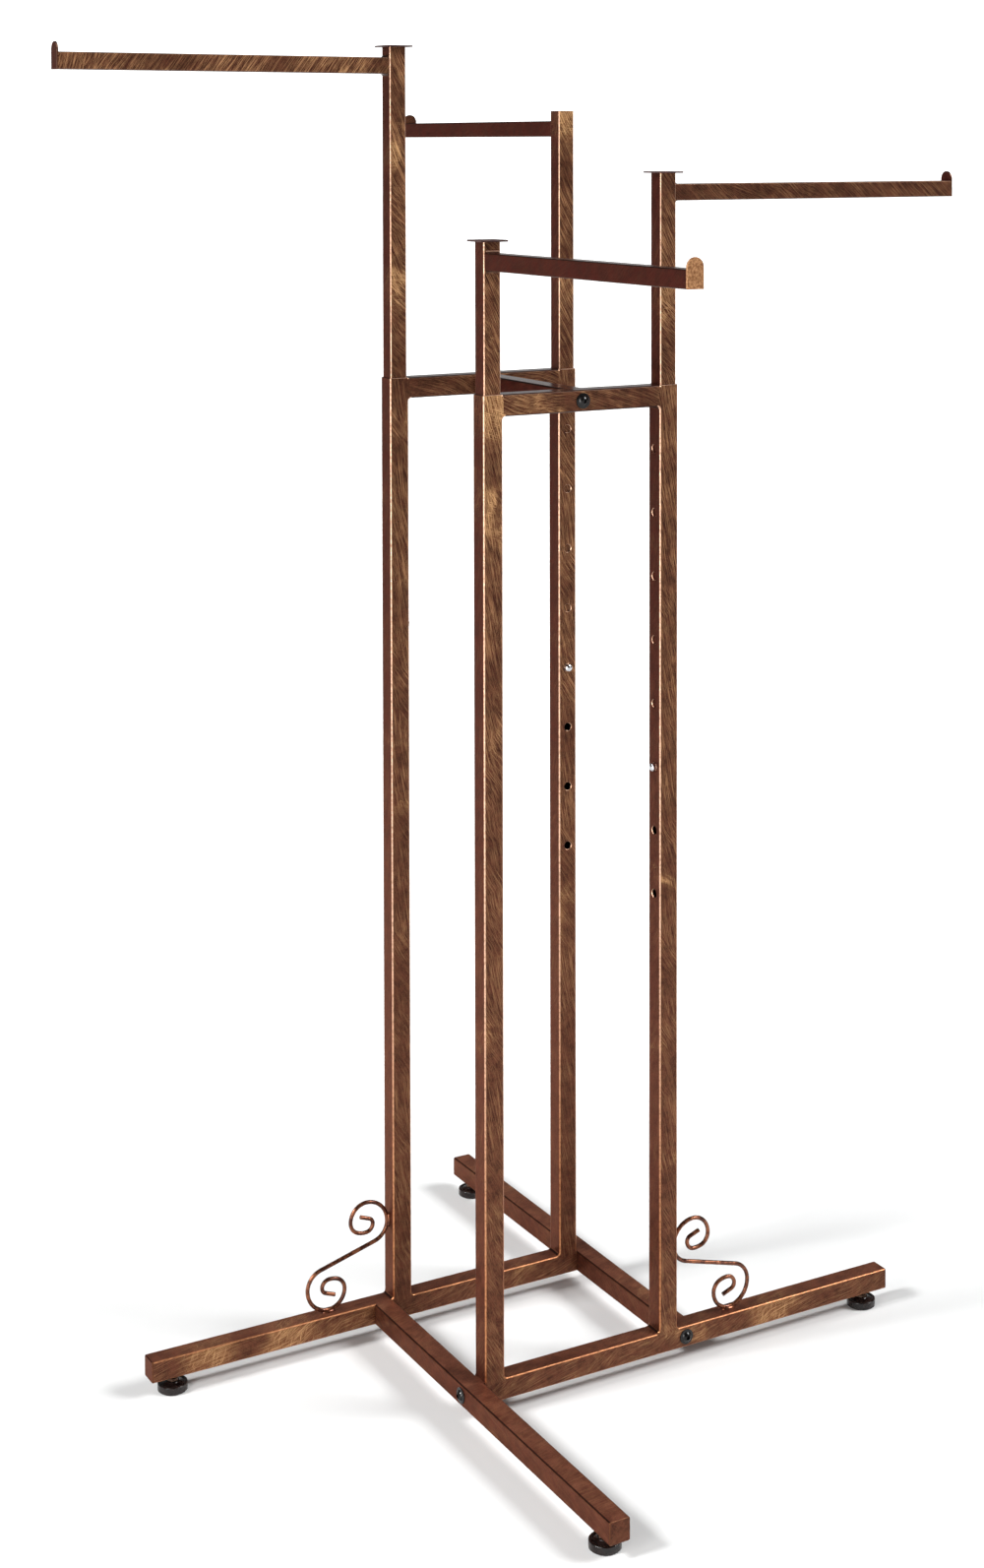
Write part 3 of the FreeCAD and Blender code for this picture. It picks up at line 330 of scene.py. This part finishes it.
def brushing(nodes, face, position, angle, rubbed):
    """All strokes together: two directions that take over from each other in patches, fine hairlines, and
    some across them, most of all where the coat is rubbed."""
    turned = patches(nodes, position, TURNED)
    main = nodes.plus(
        nodes.times(strokes(nodes, face, angle, MAIN_STROKE), nodes.minus(1.0, turned)),
        nodes.times(strokes(nodes, face, angle, TURNED_STROKE), turned),
    )
    fine = strokes(nodes, face, angle, FINE_STROKE)
    cross = nodes.times(strokes(nodes, face, angle, CROSS_STROKE), nodes.plus(CROSS_LEAST, rubbed))
    busy = patches(nodes, position, BUSY, BUSY_LEAST)
    return nodes.times(nodes.most(main, fine, cross), nodes.most(busy, rubbed))


def coat_colour(nodes, face, low_down, tone, rubbed, shown):
    """Maroon on the plain faces and brown on the brushed ones, with gold in the strokes. The plain faces are
    painted darker high up than near the floor as painted shade and lighter on the tops near the floor as
    painted light, and the brightest gold of the rubbed strokes is a painted glint.
    """
    def toned(pair):
        return nodes.mix(tone, *pair)
    # painted shade and light: the maroon darker high up, lighter near the floor and lighter still on the tops
    # there
    maroon_low = nodes.mix(face.on_z, toned(MAROON_LOW), toned(MAROON_LOW_TOPS))
    maroon = nodes.mix(low_down, toned(MAROON), maroon_low)
    brown = nodes.mix(low_down, toned(BROWN), toned(BROWN_LOW))
    brown = nodes.mix(nodes.times(rubbed, RUBBED_SHARE), brown, BROWN_RUBBED)
    colour = nodes.mix(face.plain, brown, maroon)
    colour = nodes.mix(nodes.times(shown, STROKE_SHARE), colour, STROKE_GOLD)
    # painted glint: the rubbed strokes turn bright gold
    return nodes.mix(nodes.times(rubbed, shown, GOLD_SHARE), colour, GOLD_GLINT)


def edges_worn_and_painted(nodes, face, position, normal, edges):
    """How much of an edge shows copper, painted bright as a painted highlight, and how much is painted with a
    dark reflection instead. The coat is thin on the edges and copper shows, least on the edges that run along
    Y and least of all on their upper half, which are painted with a dark reflection there."""
    edge = nodes.step(face.flat, EDGE_START, EDGE_FULL)
    wear = patches(nodes, position, EDGE_WEAR, EDGE_WEAR_LEAST)
    nx, ny, nz = nodes.split(nodes.vector("ABSOLUTE", normal))
    along_y = nodes.step(ny, ALONG_Y_START, ALONG_Y_FULL)
    upper = nodes.math("GREATER_THAN", nz, nodes.times(nx, UPPER_SLOPE))
    dark_along_y = nodes.times(along_y, nodes.weighed(DARK_ALONG_Y, (upper, DARK_UPPER)))
    bare_and_highlit = nodes.times(nodes.minus(1.0, dark_along_y), edges)
    return nodes.times(edge, wear, bare_and_highlit), nodes.times(edge, nodes.minus(1.0, bare_and_highlit))


def coat(name, angle, wander=0.014, brushed=1.0, edges=1.0, gold_at=(), gold_size=0.06):
    """angle is how the brush strokes run on the front faces, wander how much they wave about, brushed how
    strong they are, edges how much copper the edges show, with its painted highlight, the rest of each edge
    being painted with a dark reflection, gold_at the places where the coat is rubbed through to gold and
    gold_size how wide those are."""
    material, nodes, shader = new_material(name)
    coordinates = nodes.add("ShaderNodeTexCoord")
    position, normal = coordinates.outputs["Object"], coordinates.outputs["Normal"]
    face = face_of(nodes, position, normal)
    height = nodes.split(position)[2]
    low_down = nodes.step(height, LOOK_HIGH, LOOK_LOW)
    blotch = patches(nodes, position, BLOTCH)
    speck = patches(nodes, position, SPECK)
    tone = nodes.weighed(0.0, (blotch, BLOTCH_SHARE), (speck, SPECK_SHARE))
    grain = nodes.noise(position, GRAIN_WAVES)

    rubbed = rubbed_through(nodes, position, gold_at, gold_size)
    scratch = brushing(nodes, waved(nodes, face, position, wander), position, angle, rubbed)
    kept = nodes.times(face.plain, nodes.weighed(KEPT, (low_down, -KEPT_LESS_LOW)))
    faded = nodes.weighed(1.0, (low_down, -FAINTER_LOW))
    shown = nodes.times(scratch, nodes.minus(1.0, kept), brushed, faded)
    worn_and_highlit, dark_reflection = edges_worn_and_painted(nodes, face, position, normal, edges)
    # painted highlight: the edge copper brighter high up than near the floor
    copper = nodes.mix(nodes.step(height, HIGHLIGHT_HIGH, HIGHLIGHT_DOWN), COPPER_HIGHLIGHT, COPPER_HIGHLIGHT_LOW)
    colour = coat_colour(nodes, face, low_down, tone, rubbed, shown)
    colour = nodes.mix(nodes.times(worn_and_highlit, COPPER_HIGHLIGHT_SHARE), colour, copper)
    # painted dark reflection on the edges where no copper shows
    colour = nodes.mix(nodes.times(dark_reflection, DARK_REFLECTION_SHARE), colour, DARK_REFLECTION_EDGE)
    nodes.feed(shader.inputs["Base Color"], colour)

    low_tops = nodes.times(face.on_z, low_down)
    high_tops = nodes.times(face.on_z, nodes.minus(1.0, low_down))
    metal = nodes.weighed(METAL, (face.plain, METAL_PLAIN), (low_tops, METAL_LOW_TOPS), (worn_and_highlit, METAL_WORN))
    rough = nodes.weighed(ROUGH, (blotch, ROUGH_BLOTCH), (grain, ROUGH_GRAIN), (worn_and_highlit, ROUGH_WORN))
    relief = nodes.weighed(0.0, (scratch, RELIEF_SCRATCH), (grain, RELIEF_GRAIN))
    nodes.feed(shader.inputs["Metallic"], nodes.math("MINIMUM", metal, 1.0))
    nodes.feed(shader.inputs["Roughness"], rough)
    nodes.feed(shader.inputs["Specular IOR Level"], 0.2)
    nodes.feed(shader.inputs["Specular Tint"], nodes.mix(worn_and_highlit, WARM_SHINE, WHITE))
    nodes.feed(shader.inputs["Coat Weight"], nodes.weighed(LACQUER, (high_tops, LACQUER_HIGH_TOPS)))
    nodes.feed(shader.inputs["Coat Roughness"], 0.18)
    nodes.feed(shader.inputs["Normal"], nodes.bump(relief, strength=0.25, distance=0.1 * MM))
    return material


GRAIN_FINER = 9             # how many times finer its grain is than its blotches
MOTTLED_BLOTCH, MOTTLED_GRAIN = 0.6, 0.4                # their shares in its roughness
CORNER_START, CORNER_FULL = 0.97, 0.80                  # edges, as for the coat
CHIP_START, CHIP_FULL = 0.45, 0.70                      # grain at which an edge is chipped
CHIP_SHARE = 0.6


def mottled(name, dark, light, metallic, rough, waves, relief=0.1, lacquer=0.0, wear=None, shine=0.5):
    """A plainer surface in two tones. rough is its least and most roughness, waves the size of its blotches
    per metre, relief the depth of its grain in millimetres, lacquer how much clear gloss lies on it, wear the
    colour of chipped edges, light enough to stand as a painted edge highlight too, and shine how much it
    reflects."""
    material, nodes, shader = new_material(name)
    coordinates = nodes.add("ShaderNodeTexCoord")
    position, normal = coordinates.outputs["Object"], coordinates.outputs["Normal"]
    blotch = patches(nodes, position, BLOTCH._replace(waves=waves))
    grain = nodes.noise(position, waves * GRAIN_FINER)
    colour = nodes.mix(blotch, dark, light)
    if wear is not None:
        flat = nodes.most(*nodes.split(nodes.vector("ABSOLUTE", normal)))
        edge = nodes.step(flat, CORNER_START, CORNER_FULL)
        chipped = nodes.times(edge, nodes.step(grain, CHIP_START, CHIP_FULL), CHIP_SHARE)
        colour = nodes.mix(chipped, colour, wear)
    spread = rough[1] - rough[0]
    roughness = nodes.weighed(
        rough[0], (blotch, spread * MOTTLED_BLOTCH), (grain, spread * MOTTLED_GRAIN),
    )
    nodes.feed(shader.inputs["Base Color"], colour)
    nodes.feed(shader.inputs["Metallic"], metallic)
    nodes.feed(shader.inputs["Roughness"], roughness)
    nodes.feed(shader.inputs["Specular IOR Level"], shine)
    nodes.feed(shader.inputs["Coat Weight"], lacquer)
    nodes.feed(shader.inputs["Coat Roughness"], 0.08)
    nodes.feed(shader.inputs["Normal"], nodes.bump(grain, strength=0.35, distance=relief * MM))
    return material


def top_corner(node):
    """The middle of a node's front face at its very top."""
    low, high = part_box(node)
    return ((low[0] + high[0]) / 2, low[1], high[2])


def on_front(node, share):
    """The middle of a node's front face, that share of the way along X."""
    low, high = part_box(node)
    return (low[0] + (high[0] - low[0]) * share, low[1], (low[2] + high[2]) / 2)


COAT_POST = coat("copper_coat_posts", -80, gold_at=[top_corner("post_front_left")])
COAT_SLIDER = coat(
    "copper_coat_sliders", -66, brushed=1.15, gold_at=[top_corner("slider_back_right")], gold_size=0.05,
)
COAT_RAIL = coat(
    "copper_coat_rails", 10, wander=0.024, edges=0.8, gold_size=0.04,
    gold_at=[
        on_front("base_rail_front", 0.70),
        on_front("base_rail_back", 0.12),
        on_front("base_rail_back", 0.30),
    ],
)
COAT_TOP_RAIL = coat("copper_coat_top_rails", -22, wander=0.030, brushed=0.8, edges=0.12)
COAT_ARM_RISING = coat("copper_coat_arm_rising", 52, wander=0.004, brushed=1.2, edges=0.3)
COAT_ARM_FALLING = coat("copper_coat_arm_falling", -42, wander=0.006, brushed=0.5, edges=0.3)
COAT_CAP = coat("copper_coat_caps", 30, wander=0.010, brushed=0.3, edges=0.4)
# the stop seen face-on, golden, with light chipped edges that are also a painted highlight; the stops seen
# edge-on take the darker cap coat as painted shade
COAT_STOP = mottled(
    "copper_coat_stops", rgb(134, 88, 54), rgb(198, 146, 100), metallic=0.55, rough=(0.36, 0.50), waves=420.0,
    relief=0.15, wear=rgb(240, 200, 164),
)
COAT_PLATE = mottled(
    "copper_coat_plates", rgb(52, 28, 26), rgb(84, 48, 42), metallic=0.4, rough=(0.36, 0.52), waves=120.0,
)
ROD = mottled(
    "scroll_coat", rgb(78, 40, 28), rgb(150, 92, 62), metallic=0.8, rough=(0.20, 0.36), waves=90.0,
    relief=0.15, lacquer=0.25,
)
BLACK_BOLT = mottled(
    "black_oxide", rgb(6, 5, 5), rgb(15, 13, 12), metallic=0.0, rough=(0.18, 0.32), waves=260.0,
    relief=0.05, lacquer=0.05, shine=0.35,
)
BLACK_PAD = mottled(
    "black_moulding", rgb(16, 9, 8), rgb(31, 20, 18), metallic=0.0, rough=(0.20, 0.36), waves=140.0,
    relief=0.08, lacquer=0.15, shine=0.35,
)
ZINC = mottled(
    "zinc_plate", rgb(96, 72, 60), rgb(140, 112, 96), metallic=0.8, rough=(0.28, 0.46), waves=240.0,
)
SPRING = mottled(
    "spring_strip", rgb(70, 74, 84), rgb(120, 122, 130), metallic=0.9, rough=(0.25, 0.42), waves=200.0,
)
BUTTON = mottled(
    "bright_button", rgb(205, 207, 212), rgb(236, 237, 240), metallic=1.0, rough=(0.06, 0.16), waves=300.0,
    relief=0.03,
)

BY_SLOT = {
    "coated_steel": COAT_RAIL,
    "black_bolt": BLACK_BOLT,
    "zinc_steel": ZINC,
    "spring_steel": SPRING,
    "button_chrome": BUTTON,
    "black_plastic": BLACK_PAD,
}

# finishes by the start of a node's name; where several fit, the last one holds
BY_NAME = [
    ("post", COAT_POST),
    ("slider", COAT_SLIDER),
    ("arm_", COAT_ARM_FALLING),
    ("arm_back_left", COAT_ARM_RISING),
    # painted shade: the stops seen edge-on get the darker cap coat, the one seen face-on the golden one
    ("arm_stop", COAT_CAP),
    ("arm_stop_front_left", COAT_STOP),
    ("top_p", COAT_PLATE),
    ("top_rail", COAT_TOP_RAIL),
    ("top_crossbar", COAT_TOP_RAIL),
    ("leg_cap", COAT_CAP),
    ("scroll", ROD),
]


def dress_nodes():
    """Gives each CAD node the finish that goes with its name, or else the one of its slot."""
    for row in frame["record"]["subparts"]:
        material = BY_SLOT[row["material_slot"]]
        for start, finish in BY_NAME:
            if row["node"].startswith(start):
                material = finish
        data = NODES[row["node"]].data
        data.materials.clear()
        data.materials.append(material)


dress_nodes()


# ---------------------------------------------------------------------------------------------------
# the ground welds of the frame: the tubes run into each other without a seam, and the bright edges turn
# the inside corners in a small round

ROUND = 2.5 * MM            # corner radius of the tubes
WELD = 4.0 * MM             # leg of the welds, whose hollow face the round follows
SKIN = 2.0 * MM             # thickness of the filling under a flush face
PROUD = 0.05 * MM           # how far the filling stands out
LAP = 0.6 * MM              # how far it runs on over the tubes
ARC_STEPS = 12
TUBE_SIDES = 24


def quarter_turn():
    """The angles of a quarter circle."""
    return [math.pi / 2 * n / ARC_STEPS for n in range(ARC_STEPS + 1)]


def along_x(a, b, along):
    return Vector((along, a, b))


def along_y(a, b, along):
    return Vector((a, along, b))


class Piece:
    """A mesh put together from prisms and tubes."""

    def __init__(self):
        self.mesh = bmesh.new()

    def prism(self, outline, start, end, lay):
        """A straight prism. lay puts a point of the outline at that place along the prism."""
        near = [self.mesh.verts.new(lay(a, b, start)) for a, b in outline]
        far = [self.mesh.verts.new(lay(a, b, end)) for a, b in outline]
        self.mesh.faces.new(near)
        self.mesh.faces.new(list(reversed(far)))
        for n in range(len(outline)):
            m = (n + 1) % len(outline)
            self.mesh.faces.new((near[m], near[n], far[n], far[m]))

    def tube(self, places):
        """A smooth round tube along the places, each its middle and two directions across it."""
        rings = []
        for middle, one, other in places:
            ring = []
            for n in range(TUBE_SIDES):
                angle = 2 * math.pi * n / TUBE_SIDES
                out = one * math.cos(angle) + other * math.sin(angle)
                ring.append(self.mesh.verts.new(middle + out * ROUND))
            rings.append(ring)
        join_rings(self.mesh, rings, smooth=True)

    def finish(self, name, material):
        bmesh.ops.recalc_face_normals(self.mesh, faces=self.mesh.faces)
        item = object_of(self.mesh, name, material)
        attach(item, "frame")


def join_rings(mesh, rings, smooth):
    for first, second in zip(rings, rings[1:]):
        count = len(first)
        for n in range(count):
            m = (n + 1) % count
            mesh.faces.new((first[n], first[m], second[m], second[n])).smooth = smooth


def object_of(mesh, name, material):
    data = bpy.data.meshes.new(name)
    mesh.to_mesh(data)
    mesh.free()
    data.materials.append(material)
    item = bpy.data.objects.new(name, data)
    SCENE.collection.objects.link(item)
    return item


def round_corner(piece, x, z, side, up, face, inwards):
    """The bright edge where it turns an inside corner at (x, z). side is the way the open space lies along
    X and up the way it lies along Z. face is the flush plane and inwards the way the metal lies behind it.
    Returns the outline of the turn."""
    middle = Vector((x + side * WELD, face + inwards * ROUND, z + up * WELD))
    places = []
    for angle in quarter_turn():
        out = Vector((-side * math.cos(angle), 0, -up * math.sin(angle)))
        places.append((middle + out * (WELD + ROUND), out, Vector((0, 1, 0))))
    piece.tube(places)
    return [(place.x, place.z) for place, _, _ in places]


def flush(piece, outline, face, inwards):
    """A flat filling whose outer side stands just proud of the flush plane."""
    piece.prism(outline, face - inwards * PROUD, face + inwards * SKIN, along_y)


def post_foot(piece, post, left, right):
    """Where a post stands on a base rail: left and right say which inside corners there are."""
    (x0, y0, z0), (x1, y1, _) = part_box(post)
    bottom, top = z0 - ROUND - LAP, z0 + LAP
    for face, inwards in ((y0, 1), (y1, -1)):
        outline = [(x0, top), (x0, bottom)]
        if left:
            turn = round_corner(piece, x0, z0, -1, 1, face, inwards)
            outline = [(x0 + ROUND, top)] + turn + [(x0 - WELD, bottom)]
        other = [(x1, bottom), (x1, top)]
        if right:
            turn = round_corner(piece, x1, z0, 1, 1, face, inwards)
            other = [(x1 + WELD, bottom)] + list(reversed(turn)) + [(x1 - ROUND, top)]
        flush(piece, outline + other, face, inwards)


def post_head(piece, post, rail, side):
    """Where a top rail meets the side of a post. side is the way the rail goes."""
    (x0, y0, _), (x1, y1, _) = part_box(post)
    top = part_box(rail)[1][2]
    under = top - (y1 - y0)
    ridge, above = top - ROUND, under + ROUND + LAP
    x = x1 if side > 0 else x0
    inner, outer = x - side * (ROUND + LAP), x + side * LAP
    for face, inwards in ((y0, 1), (y1, -1)):
        turn = round_corner(piece, x, under, side, -1, face, inwards)
        over = [(x + side * WELD, above), (outer, above), (outer, ridge)]
        beside = [(inner, ridge), (inner, under - WELD)]
        flush(piece, turn + over + beside, face, inwards)
        ends = [Vector((at, face + inwards * ROUND, ridge)) for at in (inner, x)]
        piece.tube([(end, Vector((0, 1, 0)), Vector((0, 0, 1))) for end in ends])


def groove(piece, corner, inwards, start, end, lay):
    """Fills the groove that a tube's round edge leaves beside another tube. corner is where the square
    edge would be and inwards the way the metal lies."""
    outline = [corner]
    for angle in quarter_turn():
        across = corner[0] + inwards[0] * ROUND * (1 - math.sin(angle))
        up = corner[1] + inwards[1] * ROUND * (1 - math.cos(angle))
        outline.append((across, up))
    piece.prism(outline, start, end, lay)


def rail_grooves(piece, rail, way):
    """The grooves over and under the joint where a side rail ends against a base rail. way is the way the
    side rail goes from there along Y."""
    (x0, y0, z0), (x1, y1, z1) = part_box(rail)
    meet = y0 if way > 0 else y1
    for level, up in ((z1, -1), (z0, 1)):
        groove(piece, (meet, level), (-way, up), x0 + ROUND, x1 - ROUND, along_x)


def post_groove(piece, rail, post, way):
    """The groove where a side rail runs past the foot of a post. way is the way the rail lies from the post
    along X."""
    (x0, _, _), (x1, _, z1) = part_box(rail)
    (_, y0, _), (_, y1, _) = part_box(post)
    meet = x1 if way < 0 else x0
    groove(piece, (meet, z1), (way, -1), y0 + ROUND, y1 - ROUND, along_y)


def ground_welds():
    feet, heads, sides = Piece(), Piece(), Piece()
    post_foot(feet, "post_front_left", False, True)
    post_foot(feet, "post_front_right", True, True)
    post_foot(feet, "post_back_left", True, True)
    post_foot(feet, "post_back_right", True, False)
    for row in ("front", "back"):
        post_head(heads, f"post_{row}_left", f"top_rail_{row}", 1)
        post_head(heads, f"post_{row}_right", f"top_rail_{row}", -1)
    rail_grooves(sides, "side_rail_right", 1)
    rail_grooves(sides, "side_rail_left", -1)
    post_groove(sides, "side_rail_left", "post_front_left", -1)
    post_groove(sides, "side_rail_right", "post_back_right", 1)
    feet.finish("ground_welds_base", COAT_POST)
    heads.finish("ground_welds_top", COAT_POST)
    sides.finish("ground_welds_sides", COAT_RAIL)


ground_welds()


# ---------------------------------------------------------------------------------------------------
# the foot studs with a real thread, in place of the plain ones

PITCH = 1.25 * MM
THREAD_DEPTH = 0.68 * MM
THREAD_RADIUS = 4.0 * MM
THREAD_SIDES = 48
STEPS_A_TURN = 10
FLANK = 2.3                 # how steeply the depth changes through a turn of the thread
ROOT_FLAT = 0.08            # how much of it stays at the root
RUN_OUT = 0.9 * MM          # height of the cone at the end of the thread
NECK = 3.0 * MM
BALL = 5.0 * MM
BALL_ANGLES = range(-80, 51, 10)        # degrees up from the middle of the ball
COLLAR = 9.8 * MM           # underside of the hexagon, over the lowest point of the ball
SPANNER = 13.0 * MM         # across the flats of the hexagon
HEXAGON_THICK = 3.2 * MM
HEXAGON_EASE = 0.4 * MM


def ring_of(mesh, place, height, radius_at):
    """One ring of points about a vertical axis. radius_at gives the radius at an angle."""
    ring = []
    for n in range(THREAD_SIDES):
        angle = 2 * math.pi * n / THREAD_SIDES
        radius = radius_at(angle)
        x, y = place[0] + radius * math.cos(angle), place[1] + radius * math.sin(angle)
        ring.append(mesh.verts.new((x, y, height)))
    return ring


def close_ring(mesh, ring, upwards):
    mesh.faces.new(ring if upwards else list(reversed(ring)))


def round_at(radius):
    """The radius of a circle, the same at every angle."""
    def radius_at(_):
        return radius
    return radius_at


def hexagon_at(across):
    """The radius of a hexagon at an angle, its flats that far apart."""
    def radius_at(angle):
        turned = (angle + math.pi / 6) % (math.pi / 3) - math.pi / 6
        return across / 2 / math.cos(math.pi / 6 - abs(turned))
    return radius_at


def thread_at(height, run_out):
    """The radius of the thread at an angle, at that height, where the end cone takes run_out off it."""
    def radius_at(angle):
        phase = (height / PITCH - angle / (2 * math.pi)) % 1.0
        tooth = min(1.0, max(0.0, FLANK * abs(phase - 0.5) - ROOT_FLAT))
        return THREAD_RADIUS - THREAD_DEPTH * (1 - tooth) - run_out
    return radius_at


def ball_and_neck(mesh, place, low, collar):
    rings = []
    for degrees in BALL_ANGLES:
        tilt = math.radians(degrees)
        height = low + BALL + BALL * math.sin(tilt)
        rings.append(ring_of(mesh, place, height, round_at(BALL * math.cos(tilt))))
    rings.append(ring_of(mesh, place, collar, round_at(NECK)))
    join_rings(mesh, rings, smooth=True)
    close_ring(mesh, rings[0], upwards=False)


def hexagon(mesh, place, collar, top):
    outline, eased = hexagon_at(SPANNER), hexagon_at(SPANNER - 2 * HEXAGON_EASE)
    levels = ((collar, eased), (collar + HEXAGON_EASE, outline), (top - HEXAGON_EASE, outline), (top, eased))
    rings = [ring_of(mesh, place, height, radius_at) for height, radius_at in levels]
    join_rings(mesh, rings, smooth=False)
    close_ring(mesh, rings[0], upwards=False)
    close_ring(mesh, rings[-1], upwards=True)


def thread(mesh, place, bottom, top):
    steps = int((top - bottom) / PITCH * STEPS_A_TURN)
    rings = []
    for n in range(steps + 1):
        height = bottom + (top - bottom) * n / steps
        run_out = max(0.0, RUN_OUT - (top - height))
        rings.append(ring_of(mesh, place, height, thread_at(height, run_out)))
    join_rings(mesh, rings, smooth=True)
    close_ring(mesh, rings[-1], upwards=True)


def threaded_stud(leg):
    (x0, y0, low), (x1, y1, high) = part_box(f"foot_stud_{leg}")
    place = ((x0 + x1) / 2, (y0 + y1) / 2)
    collar = low + COLLAR
    mesh = bmesh.new()
    ball_and_neck(mesh, place, low, collar)
    hexagon(mesh, place, collar, collar + HEXAGON_THICK)
    thread(mesh, place, collar + HEXAGON_THICK, high)
    stud = object_of(mesh, f"threaded_stud_{leg}", ZINC)
    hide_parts(f"foot_stud_{leg}")
    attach(stud, f"stud_{leg}")


for leg in LEGS:
    threaded_stud(leg)


# ---------------------------------------------------------------------------------------------------
# floor, light and camera

FLOOR_HALF = 60.0
FLOOR_DROP = 0.2 * MM       # keeps the floor clear of the pads
FLOOR_PATCHES = Patches(3.0, 2.0, 0.5, 0.0, 0.30, 0.70)
FLOOR_TONES = (0.85, 0.87)
FLOOR_TINT = (0.99, 1.0, 1.0)
FADE_FROM, FADE_TO = 0.50, 1.1          # metres from the middle of the rack
FADE = 0.4
AMBIENT = 0.09              # light of the world all round
WALL_GLOW = 0.5             # extra light from behind the rack, near the horizon
GLOW_TOP, GLOW_FULL = 0.30, 0.06        # height where that starts and is full, as the sine of its angle
GLOW_BEHIND = 0.8           # how far its direction leans along Y where it is full
BACKDROP = 1.2              # extra white that only the camera sees


def pale_floor():
    far = FLOOR_HALF
    mesh = bpy.data.meshes.new("floor")
    mesh.from_pydata([(-far, -far, 0), (far, -far, 0), (far, far, 0), (-far, far, 0)], [], [(0, 1, 2, 3)])
    floor = bpy.data.objects.new("floor", mesh)
    SCENE.collection.objects.link(floor)
    floor.location.z = -FLOOR_DROP
    material, nodes, shader = new_material("pale_floor")
    position = nodes.add("ShaderNodeTexCoord").outputs["Object"]
    tone = patches(nodes, position, FLOOR_PATCHES, *FLOOR_TONES)
    # the far floor fades to the white behind it, for the camera only
    away = nodes.step(nodes.vector("LENGTH", position), FADE_FROM, FADE_TO)
    seen = nodes.add("ShaderNodeLightPath").outputs["Is Camera Ray"]
    colour = nodes.vector("MULTIPLY", nodes.combine(tone, tone, tone), FLOOR_TINT)
    nodes.feed(shader.inputs["Base Color"], colour)
    nodes.feed(shader.inputs["Emission Color"], WHITE)
    nodes.feed(shader.inputs["Emission Strength"], nodes.times(away, seen, FADE))
    nodes.feed(shader.inputs["Roughness"], 0.9)
    nodes.feed(shader.inputs["Specular IOR Level"], 0.1)
    mesh.materials.append(material)


def white_world():
    """White behind the rack as the camera sees it. As light: dim overhead, brighter towards the horizon
    behind the rack."""
    world = bpy.data.worlds.new("studio")
    SCENE.world = world
    world.use_nodes = True
    nodes = Nodes(world.node_tree)
    background = world.node_tree.nodes["Background"]
    seen = nodes.add("ShaderNodeLightPath").outputs["Is Camera Ray"]
    _, ahead, up = nodes.split(nodes.add("ShaderNodeTexCoord").outputs["Generated"])
    near_horizon = nodes.step(nodes.math("ABSOLUTE", up), GLOW_TOP, GLOW_FULL)
    behind = nodes.step(ahead, 0.0, GLOW_BEHIND)
    glow = nodes.times(near_horizon, behind)
    nodes.feed(background.inputs["Color"], WHITE)
    nodes.feed(background.inputs["Strength"], nodes.weighed(AMBIENT, (glow, WALL_GLOW), (seen, BACKDROP)))


def sun(name, towards, width, strength):
    """A far soft light. towards is the direction from the rack to it and width the angle it fills."""
    lamp = bpy.data.lights.new(name, "SUN")
    lamp.angle = math.radians(width)
    lamp.energy = strength
    item = bpy.data.objects.new(name, lamp)
    SCENE.collection.objects.link(item)
    item.rotation_euler = Vector(towards).to_track_quat("Z", "Y").to_euler()


def softbox(name, place, aim, width, height, power, tint):
    lamp = bpy.data.lights.new(name, "AREA")
    lamp.shape = "RECTANGLE"
    lamp.size = width
    lamp.size_y = height
    lamp.energy = power
    lamp.color = tint
    item = bpy.data.objects.new(name, lamp)
    SCENE.collection.objects.link(item)
    item.location = place
    item.rotation_euler = (Vector(aim) - Vector(place)).to_track_quat("-Z", "Y").to_euler()
    item.visible_camera = False


CAMERA_PLACE = Vector((-1.4548, -2.5685, 1.4692))
CAMERA_YAW, CAMERA_PITCH, CAMERA_ROLL = 29.903, -2.095, -0.08       # degrees
SENSOR = 36.0               # height of the sensor, in millimetres
LENS = 56.386               # focal length, in millimetres
SHIFTS = {"shift_x": -0.0325, "shift_y": -0.3516}
STANDING = 0.01             # how near the camera must be to the photo's standpoint for the shift


def camera_at_photo():
    """The photo's standpoint. The lens is shifted there only, so that other views stay centred."""
    lens = bpy.data.cameras.new("camera")
    lens.sensor_fit = "VERTICAL"
    lens.sensor_height = SENSOR
    lens.lens = LENS
    lens.clip_end = 200.0
    camera = bpy.data.objects.new("camera", lens)
    SCENE.collection.objects.link(camera)
    camera.location = CAMERA_PLACE
    turn = Matrix.Rotation(-math.radians(CAMERA_YAW), 4, "Z")
    tip = Matrix.Rotation(math.radians(90 + CAMERA_PITCH), 4, "X")
    roll = Matrix.Rotation(math.radians(CAMERA_ROLL), 4, "Z")
    camera.rotation_euler = (turn @ tip @ roll).to_euler()
    moved = f"abs(at_x - {CAMERA_PLACE.x:.4f}) + abs(at_y - {CAMERA_PLACE.y:.4f})"
    for name, shift in SHIFTS.items():
        driver = lens.driver_add(name).driver
        driver.type = "SCRIPTED"
        for axis in "XY":
            variable = driver.variables.new()
            variable.name = f"at_{axis.lower()}"
            variable.type = "TRANSFORMS"
            variable.targets[0].id = camera
            variable.targets[0].transform_type = f"LOC_{axis}"
            variable.targets[0].transform_space = "WORLD_SPACE"
        driver.expression = f"{shift} if {moved} < {STANDING} else 0"
    SCENE.camera = camera


pale_floor()
white_world()
sun("sun_right", towards=(0.62, -0.45, 0.64), width=22.0, strength=2.75)
sun("sun_left", towards=(-0.77, 0.05, 0.635), width=13.0, strength=2.7)
softbox(
    "key_left", place=(-3.0, -1.7, 1.35), aim=(0, 0, 1.1), width=0.9, height=2.6, power=70.0,
    tint=(1.0, 0.98, 0.96),
)
camera_at_photo()
